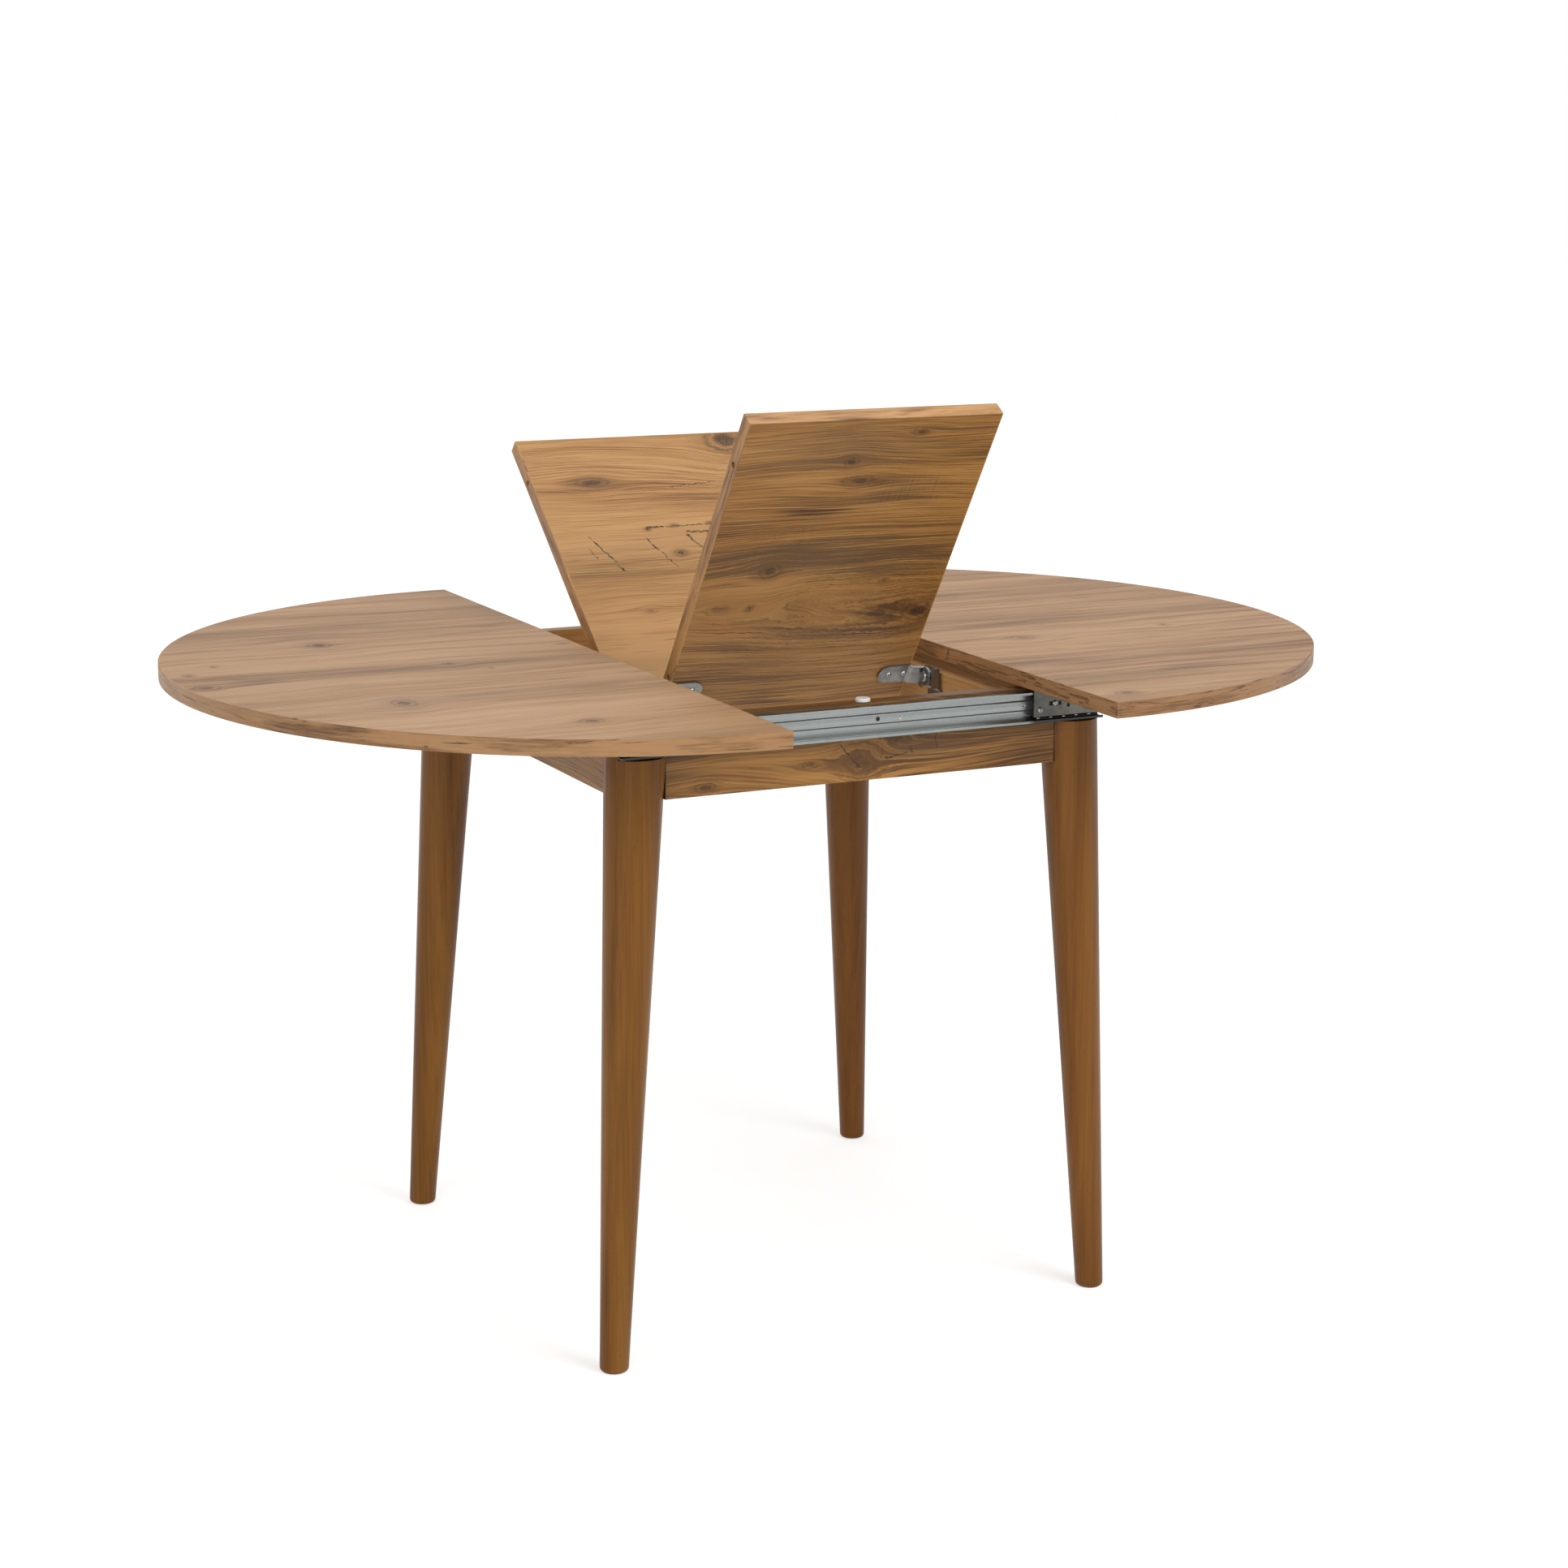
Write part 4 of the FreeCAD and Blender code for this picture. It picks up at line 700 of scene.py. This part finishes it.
def low_shade_film(wiring, stain, reach, height):
    """1 under black painted shade, which lies past that reach from the middle, low down
    whole and higher up in patches. The stain noise makes both borders wander."""
    x, _, z = wiring.split(wiring.place())
    out = wiring.math("MULTIPLY_ADD", stain, SHADE_SIDE_WANDER, wiring.math("ABSOLUTE", x))
    up = wiring.math("MULTIPLY_ADD", stain, SHADE_TOP_WANDER, z)
    low_down = wiring.step(up, height, height + SHADE_TOP_FADE, 1.0, 0.0)
    patchy_shade = wiring.math("MULTIPLY", wiring.step(stain, *PATCHY_SHADE_FADE), PATCHY_SHADE_DARK)
    start, full = (reach + fade for fade in SHADE_SIDE_FADE)
    return wiring.math("MULTIPLY", wiring.math("MAXIMUM", low_down, patchy_shade),
                       wiring.step(out, start, full))


def sheet_steel(name, color, rough, streaks, contrast=0.62, spangle=0.12, seed=0.0, low_shade=None):
    """Sheet metal: crystals from cells and rolling streaks from stretched noise shade
    the colour. Rough is (lowest, highest) roughness, contrast the shade's darkest share,
    and the last argument the (reach from the middle, height) of a film of black painted shade."""
    wiring = Wiring(name)
    point = wiring.place((seed, seed, 0))
    crystal = wiring.split(wiring.cells(point, CRYSTAL_SCALE))[0]
    streak = wiring.noise(wiring.stretch(point, streaks), detail=4.0, roughness=0.6)
    stain = wiring.noise(wiring.stretch(point, STAIN_SCALES), detail=3.0, roughness=0.6)
    tone = wiring.math("MULTIPLY_ADD", crystal, spangle,
                       wiring.math("MULTIPLY", streak, STREAK_TONE))
    tone = wiring.math("MULTIPLY_ADD", stain, STAIN_TONE, tone)
    darkest = tuple(contrast * part for part in color)
    shade, metal = wiring.mix(wiring.step(tone, *SHADE_FADE), darkest, color), 1.0
    # Painted shade: black low down past the reach, where the tops shade the slides.
    if low_shade:
        black = low_shade_film(wiring, stain, *low_shade)
        shade = wiring.mix(black, shade, SHADE_BLACK)
        metal = wiring.math("SUBTRACT", 1.0, black)
    wiring.bump(streak, STEEL_BUMP, STEEL_DEPTH, STEEL_EDGE)
    polish = wiring.step(tone, *STEEL_ROUGH_FADE, rough[1], rough[0])
    return wiring.finish(Base_Color=shade, Metallic=metal, Roughness=polish)


# Painted shade on the channels: black low down past 0.215 m from the middle, under the tops.
galvanised = sheet_steel("galvanised_channel", (0.310, 0.328, 0.320), (0.28, 0.40),
                         CHANNEL_STREAKS, 0.76, spangle=0.06, low_shade=(0.215, 0.698))
# Painted shade: the angles are a darker copy of the zinc plate, as in the tops' shadow, and black
# below 0.696 m.
shaded_angle_steel = sheet_steel("angle_plate_painted_shade", (0.165, 0.162, 0.140), (0.36, 0.52),
                          PLATE_STREAKS, 0.7, seed=2.0, low_shade=(0.0, 0.696))
plated = sheet_steel("zinc_plate", (0.26, 0.255, 0.24), (0.30, 0.46), PLATE_STREAKS, seed=3.0)
greased = sheet_steel("greased_steel", (0.060, 0.058, 0.054), (0.28, 0.44),
                      PLATE_STREAKS, seed=4.0)
bright = sheet_steel("bright_zinc", (0.37, 0.375, 0.365), (0.26, 0.40), SCREW_STREAKS, seed=5.0)
chrome = sheet_steel("polished_ball", (0.82, 0.83, 0.85), (0.06, 0.14),
                     SCREW_STREAKS, 0.8, seed=7.0)
brass = sheet_steel("brass_hinge", (0.78, 0.57, 0.26), (0.22, 0.36), SCREW_STREAKS, seed=9.0)


def at_corners(*stems):
    """The names of the nodes that each stem has at the four corners."""
    return [stem + "_" + corner for stem in stems for corner in CORNERS]


dress(galvanised, "slide_channel_front", "slide_channel_rear")
dress(shaded_angle_steel, *at_corners("runner_angle"))
dress(greased, *at_corners("slide_runner", "ball_cage"))
dress(plated, *at_corners("corner_plate"), "leaf_bracket_left", "leaf_bracket_right",
      "pivot_plate_left", "pivot_plate_right")
dress(bright, "pivot_studs", "top_screws_left", "top_screws_right", "corner_screws",
      "leg_bolts", "leg_nuts")
dress(chrome, *at_corners("balls"))
dress(brass, "leaf_front_hinge_cups", "leaf_rear_hinge_cups", "fold_links")

# %% [markdown]
# ## Screws with a cross recess
# A screw is a round shape but for its recess, so a polar grid suits it: rows go out
# over the head, round its rim and down the shank, and the recess is a cross-shaped
# dip in the first rows. The shank carries a thread, a ridge that climbs as it turns.
# One function draws a screw anywhere, from its seat and the way it is driven.

# %% Screws
HEAD, SHANK, PAN_DOME, SINK = 0.0035, 0.00175, 0.0024, 0.0019
ARM_HALF, ARM_LONG, ARM_DEEP = 0.00055, 0.0021, 0.0011
ROUND_STEPS, HEAD_ROWS, RIM_ROWS, THREAD_ROWS = 48, 15, 3, 24
THREAD_START, THREAD_PITCH, THREAD_RIDGE = 0.0022, 0.0011, 0.08
TIP, SKIN, PIN_POINT = 0.0002, 0.0001, 0.00002
LAST_HEAD_ROW, DOME_SHARE, SUNK_RIM, CORE_SHARE, ARM_FLOOR = 0.985, 0.97, 0.6, 0.9, 1.15
AROUND = np.arange(ROUND_STEPS) * (2 * math.pi / ROUND_STEPS)


def screw_grid(long, pan):
    """Rows of (x, y, depth) over a screw. Head rows have depth minus dome times one
    minus (r over head) to the fourth, deepened where the smaller of |x|, |y| is under
    half an arm's width; shank rows ride on a thread of a tenth of a millimetre."""
    out = np.linspace(PIN_POINT, LAST_HEAD_ROW * HEAD, HEAD_ROWS)
    if pan:
        top = -PAN_DOME * ((1 - (out / HEAD) ** 4) * DOME_SHARE + 1 - DOME_SHARE)
        rim_radius, rim_depth = HEAD, [-0.3 * PAN_DOME, 0.0, SKIN]
    else:
        top = np.zeros(HEAD_ROWS)
        rim_radius, rim_depth = SUNK_RIM * HEAD, [SKIN, SUNK_RIM * SINK, SINK]
    radius = np.concatenate([out, [HEAD, rim_radius, SHANK],
                             np.full(THREAD_ROWS, CORE_SHARE * SHANK), [TIP]])
    shank_end = max(long - HEAD, 0.6 * long)
    depth = np.concatenate([top, rim_depth, np.linspace(THREAD_START, shank_end, THREAD_ROWS),
                            [long - TIP]])
    x = radius[:, None] * np.cos(AROUND)
    y = radius[:, None] * np.sin(AROUND)
    near, far = np.sort(np.abs(np.stack([x, y])), 0)
    in_cross = (near < ARM_HALF) & (far < ARM_LONG)
    dip = np.where(in_cross, ARM_DEEP * (ARM_FLOOR - far / ARM_LONG), 0)
    dip[HEAD_ROWS:] = 0
    thread = 1 + THREAD_RIDGE * np.cos(AROUND - depth[:, None] * (2 * math.pi / THREAD_PITCH))
    thread[:HEAD_ROWS + RIM_ROWS] = 1
    thread[-1] = 1
    return np.stack([x * thread, y * thread, depth[:, None] + dip], -1)


def screws(name, node, body, seats, ways, long, pan=True):
    """One mesh of all screws of a node: each grid is turned so that its depth runs
    along the way it is driven, and its middle is put on its seat."""
    grid = screw_grid(long, pan)
    rows, around = grid.shape[:2]
    points = []
    for seat, way in zip(seats, ways):
        turned = Vector(way).to_track_quat("Z", "Y").to_matrix()
        points.append(grid.reshape(-1, 3) @ np.array(turned).T + np.array(seat))
    row, column = np.meshgrid(np.arange(rows - 1), np.arange(around), indexing="ij")
    here, below, beside = row * around, (row + 1) * around, (column + 1) % around
    quads = np.stack([here + column, here + beside, below + beside, below + column], -1)
    quads = quads.reshape(-1, 4)
    faces = []
    for index in range(len(points)):
        start = index * rows * around
        faces += (quads + start).tolist()
        last = start + (rows - 1) * around
        faces += [[*range(start + around - 1, start - 1, -1)], [*range(last, last + around)]]
    mesh = bpy.data.meshes.new(name)
    mesh.from_pydata(np.concatenate(points).tolist(), [], faces)
    mesh.materials.append(bright)
    piece = bpy.data.objects.new(name, mesh)
    bpy.context.scene.collection.objects.link(piece)
    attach(piece, body)
    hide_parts(node)
    print(name, len(seats), "screws,", len(faces), "faces")


def front_and_rear(face, spots):
    """Seats and ways for the same (x, z) spots on a front face and on the rear one."""
    return ([(x, -face, z) for x, z in spots] + [(x, face, z) for x, z in spots],
            [(0, 1, 0)] * len(spots) + [(0, -1, 0)] * len(spots))


WOOD_SCREW, RUNNER_SCREW = 0.0138, 0.0044
CHANNEL_FACE, RUNNER_FACE = 0.296, 0.3065
CHANNEL_SPOTS = [(x, 0.7088) for x in (0.0415, 0.2005, -0.2005)]
screws("cross_channel_screws", "channel_screws", "frame",
       *front_and_rear(CHANNEL_FACE, CHANNEL_SPOTS), WOOD_SCREW, pan=False)

PIVOT_X, PIVOT_Z, PIVOT_YS = 0.181, 0.676, (-0.1305, -0.1155)
screws("cross_pivot_screws", "pivot_screws", "frame",
       [(x, y, PIVOT_Z) for x in (PIVOT_X, -PIVOT_X) for y in PIVOT_YS],
       [(1, 0, 0)] * 2 + [(-1, 0, 0)] * 2, WOOD_SCREW)

BRACKET_XS, BRACKET_FLAT = (0.127, 0.147, -0.127, -0.147), (-0.118, -0.021)
leaf_turned = Matrix.Rotation(-FRONT_LEAN, 3, "X")
bracket_seats = [Vector(fold_point) + leaf_turned @ Vector((x, *BRACKET_FLAT)) for x in BRACKET_XS]
screws("cross_bracket_screws", "bracket_screws", "leaf_front",
       [tuple(seat) for seat in bracket_seats],
       [tuple(leaf_turned @ Vector((0, 0, 1)))] * len(bracket_seats), WOOD_SCREW)

RUNNER_SPOTS = ((0.216, 0.7046), (0.2355, 0.7115), (0.280, 0.7075), (0.326, 0.7075))
for side, sign in (("left", -1), ("right", 1)):
    spots = [(sign * x, z) for x, z in RUNNER_SPOTS]
    screws("cross_runner_screws_" + side, "runner_screws_" + side, side + "_top",
           *front_and_rear(RUNNER_FACE, spots), RUNNER_SCREW)

# %% [markdown]
# ## White bumpers
# Two moulded plastic buttons carry the leaf on the aprons. Moulded plastic is
# never quite one white: it has a soft sheen, a faint mottle and a trace of dirt.

# %% Bumpers
WHITE_DULL, WHITE_CLEAN = (0.70, 0.69, 0.66), (0.82, 0.82, 0.80)
MOTTLE_SCALE, MOTTLE_STOPS, BUMPER_ROUGH = 320.0, (0.35, 0.65), (0.42, 0.34)
BUMPER_BUMP, BUMPER_DEPTH, BUMPER_EDGE = 0.05, 0.0002, 0.0006
wiring = Wiring("bumper_plastic")
mottle = wiring.noise(wiring.place(), MOTTLE_SCALE, detail=3.0, roughness=0.6)
plastic = wiring.ramp(mottle, tuple(zip(MOTTLE_STOPS, (WHITE_DULL, WHITE_CLEAN))))
wiring.bump(mottle, BUMPER_BUMP, BUMPER_DEPTH, BUMPER_EDGE)
satin = wiring.step(mottle, *ROUGH_FADE, *BUMPER_ROUGH)
dress(wiring.finish(Base_Color=plastic, Roughness=satin, Subsurface_Weight=0.05), "bumpers")

# %% [markdown]
# ## Light and floor
# Three large soft lamps and a pale surrounding give a colour about as it is written.
# What the camera, a mirror or glass sees of the world is plain white at strength 1.
# The floor is pale, takes the table's shadow, and for the camera is lifted to white,
# further out by more, where the lamps no longer reach.

# %% Studio
AMBIENT = 0.38
WHITE = (1, 1, 1, 1)
FLOOR_HALF = 14.0
FLOOR_COLOR = (0.80, 0.80, 0.79)
FLOOR_LIFT, FLOOR_FAR_LIFT = 0.55, 0.78
LIFT_NEAR, LIFT_FAR = 1.5, 6.0
TABLE_MIDDLE = (0, 0, 0.7)
LAMPS = {"key_lamp": ((1.3, -2.9, 3.2), 2.2, 0.46),
         "fill_lamp": ((-3.0, -2.6, 2.2), 2.4, 0.30),
         "top_lamp": ((0.3, 0.8, 3.8), 3.0, 0.30)}


def seen_directly(tree):
    """1 for rays from the camera, a mirror or glass, and 0 for scattered light."""
    path = tree.nodes.new("ShaderNodeLightPath")
    first, second = tree.nodes.new("ShaderNodeMath"), tree.nodes.new("ShaderNodeMath")
    first.operation = second.operation = "MAXIMUM"
    tree.links.new(path.outputs["Is Camera Ray"], first.inputs[0])
    tree.links.new(path.outputs["Is Glossy Ray"], first.inputs[1])
    tree.links.new(first.outputs[0], second.inputs[0])
    tree.links.new(path.outputs["Is Transmission Ray"], second.inputs[1])
    return second.outputs[0]


world = bpy.data.worlds.new("studio")
bpy.context.scene.world = world
world.use_nodes = True
tree = world.node_tree
soft, seen = tree.nodes["Background"], tree.nodes.new("ShaderNodeBackground")
for background, strength in ((soft, AMBIENT), (seen, 1.0)):
    background.inputs["Color"].default_value = WHITE
    background.inputs["Strength"].default_value = strength
blend = tree.nodes.new("ShaderNodeMixShader")
tree.links.new(seen_directly(tree), blend.inputs[0])
tree.links.new(soft.outputs[0], blend.inputs[1])
tree.links.new(seen.outputs[0], blend.inputs[2])
tree.links.new(blend.outputs[0], tree.nodes["World Output"].inputs["Surface"])

floor_mesh = bpy.data.meshes.new("floor")
floor_mesh.from_pydata([(-FLOOR_HALF, -FLOOR_HALF, 0), (FLOOR_HALF, -FLOOR_HALF, 0),
                        (FLOOR_HALF, FLOOR_HALF, 0), (-FLOOR_HALF, FLOOR_HALF, 0)],
                       [], [(0, 1, 2, 3)])
floor = bpy.data.objects.new("floor", floor_mesh)
bpy.context.scene.collection.objects.link(floor)
wiring = Wiring("pale_floor")
wiring.finish(Base_Color=FLOOR_COLOR, Roughness=0.9, Specular_IOR_Level=0.0)
away = wiring.length(wiring.place())
more = wiring.step(away, LIFT_NEAR, LIFT_FAR, FLOOR_LIFT, FLOOR_FAR_LIFT)
lift = wiring.add("Emission")
wiring.feed(lift.inputs["Strength"], wiring.math("MULTIPLY", seen_directly(wiring.tree), more))
both = wiring.add("AddShader")
wiring.feed(both.inputs[0], wiring.shader.outputs[0])
wiring.feed(both.inputs[1], lift.outputs[0])
wiring.feed(wiring.output.inputs["Surface"], both.outputs[0])
floor_mesh.materials.append(wiring.material)


def soft_lamp(name, place, size, share):
    """A square lamp aimed at the table, whose middle gives a facing surface there that
    share of plain light: power is share times pi squared times the distance squared."""
    data = bpy.data.lights.new(name, "AREA")
    data.size = size
    way = Vector(TABLE_MIDDLE) - Vector(place)
    data.energy = share * math.pi ** 2 * way.length_squared
    lamp = bpy.data.objects.new(name, data)
    lamp.location = place
    lamp.rotation_mode = "QUATERNION"
    lamp.rotation_quaternion = way.to_track_quat("-Z", "Y")
    bpy.context.scene.collection.objects.link(lamp)
    print(name, "gives", share)


for name, (place, size, share) in LAMPS.items():
    soft_lamp(name, place, size, share)
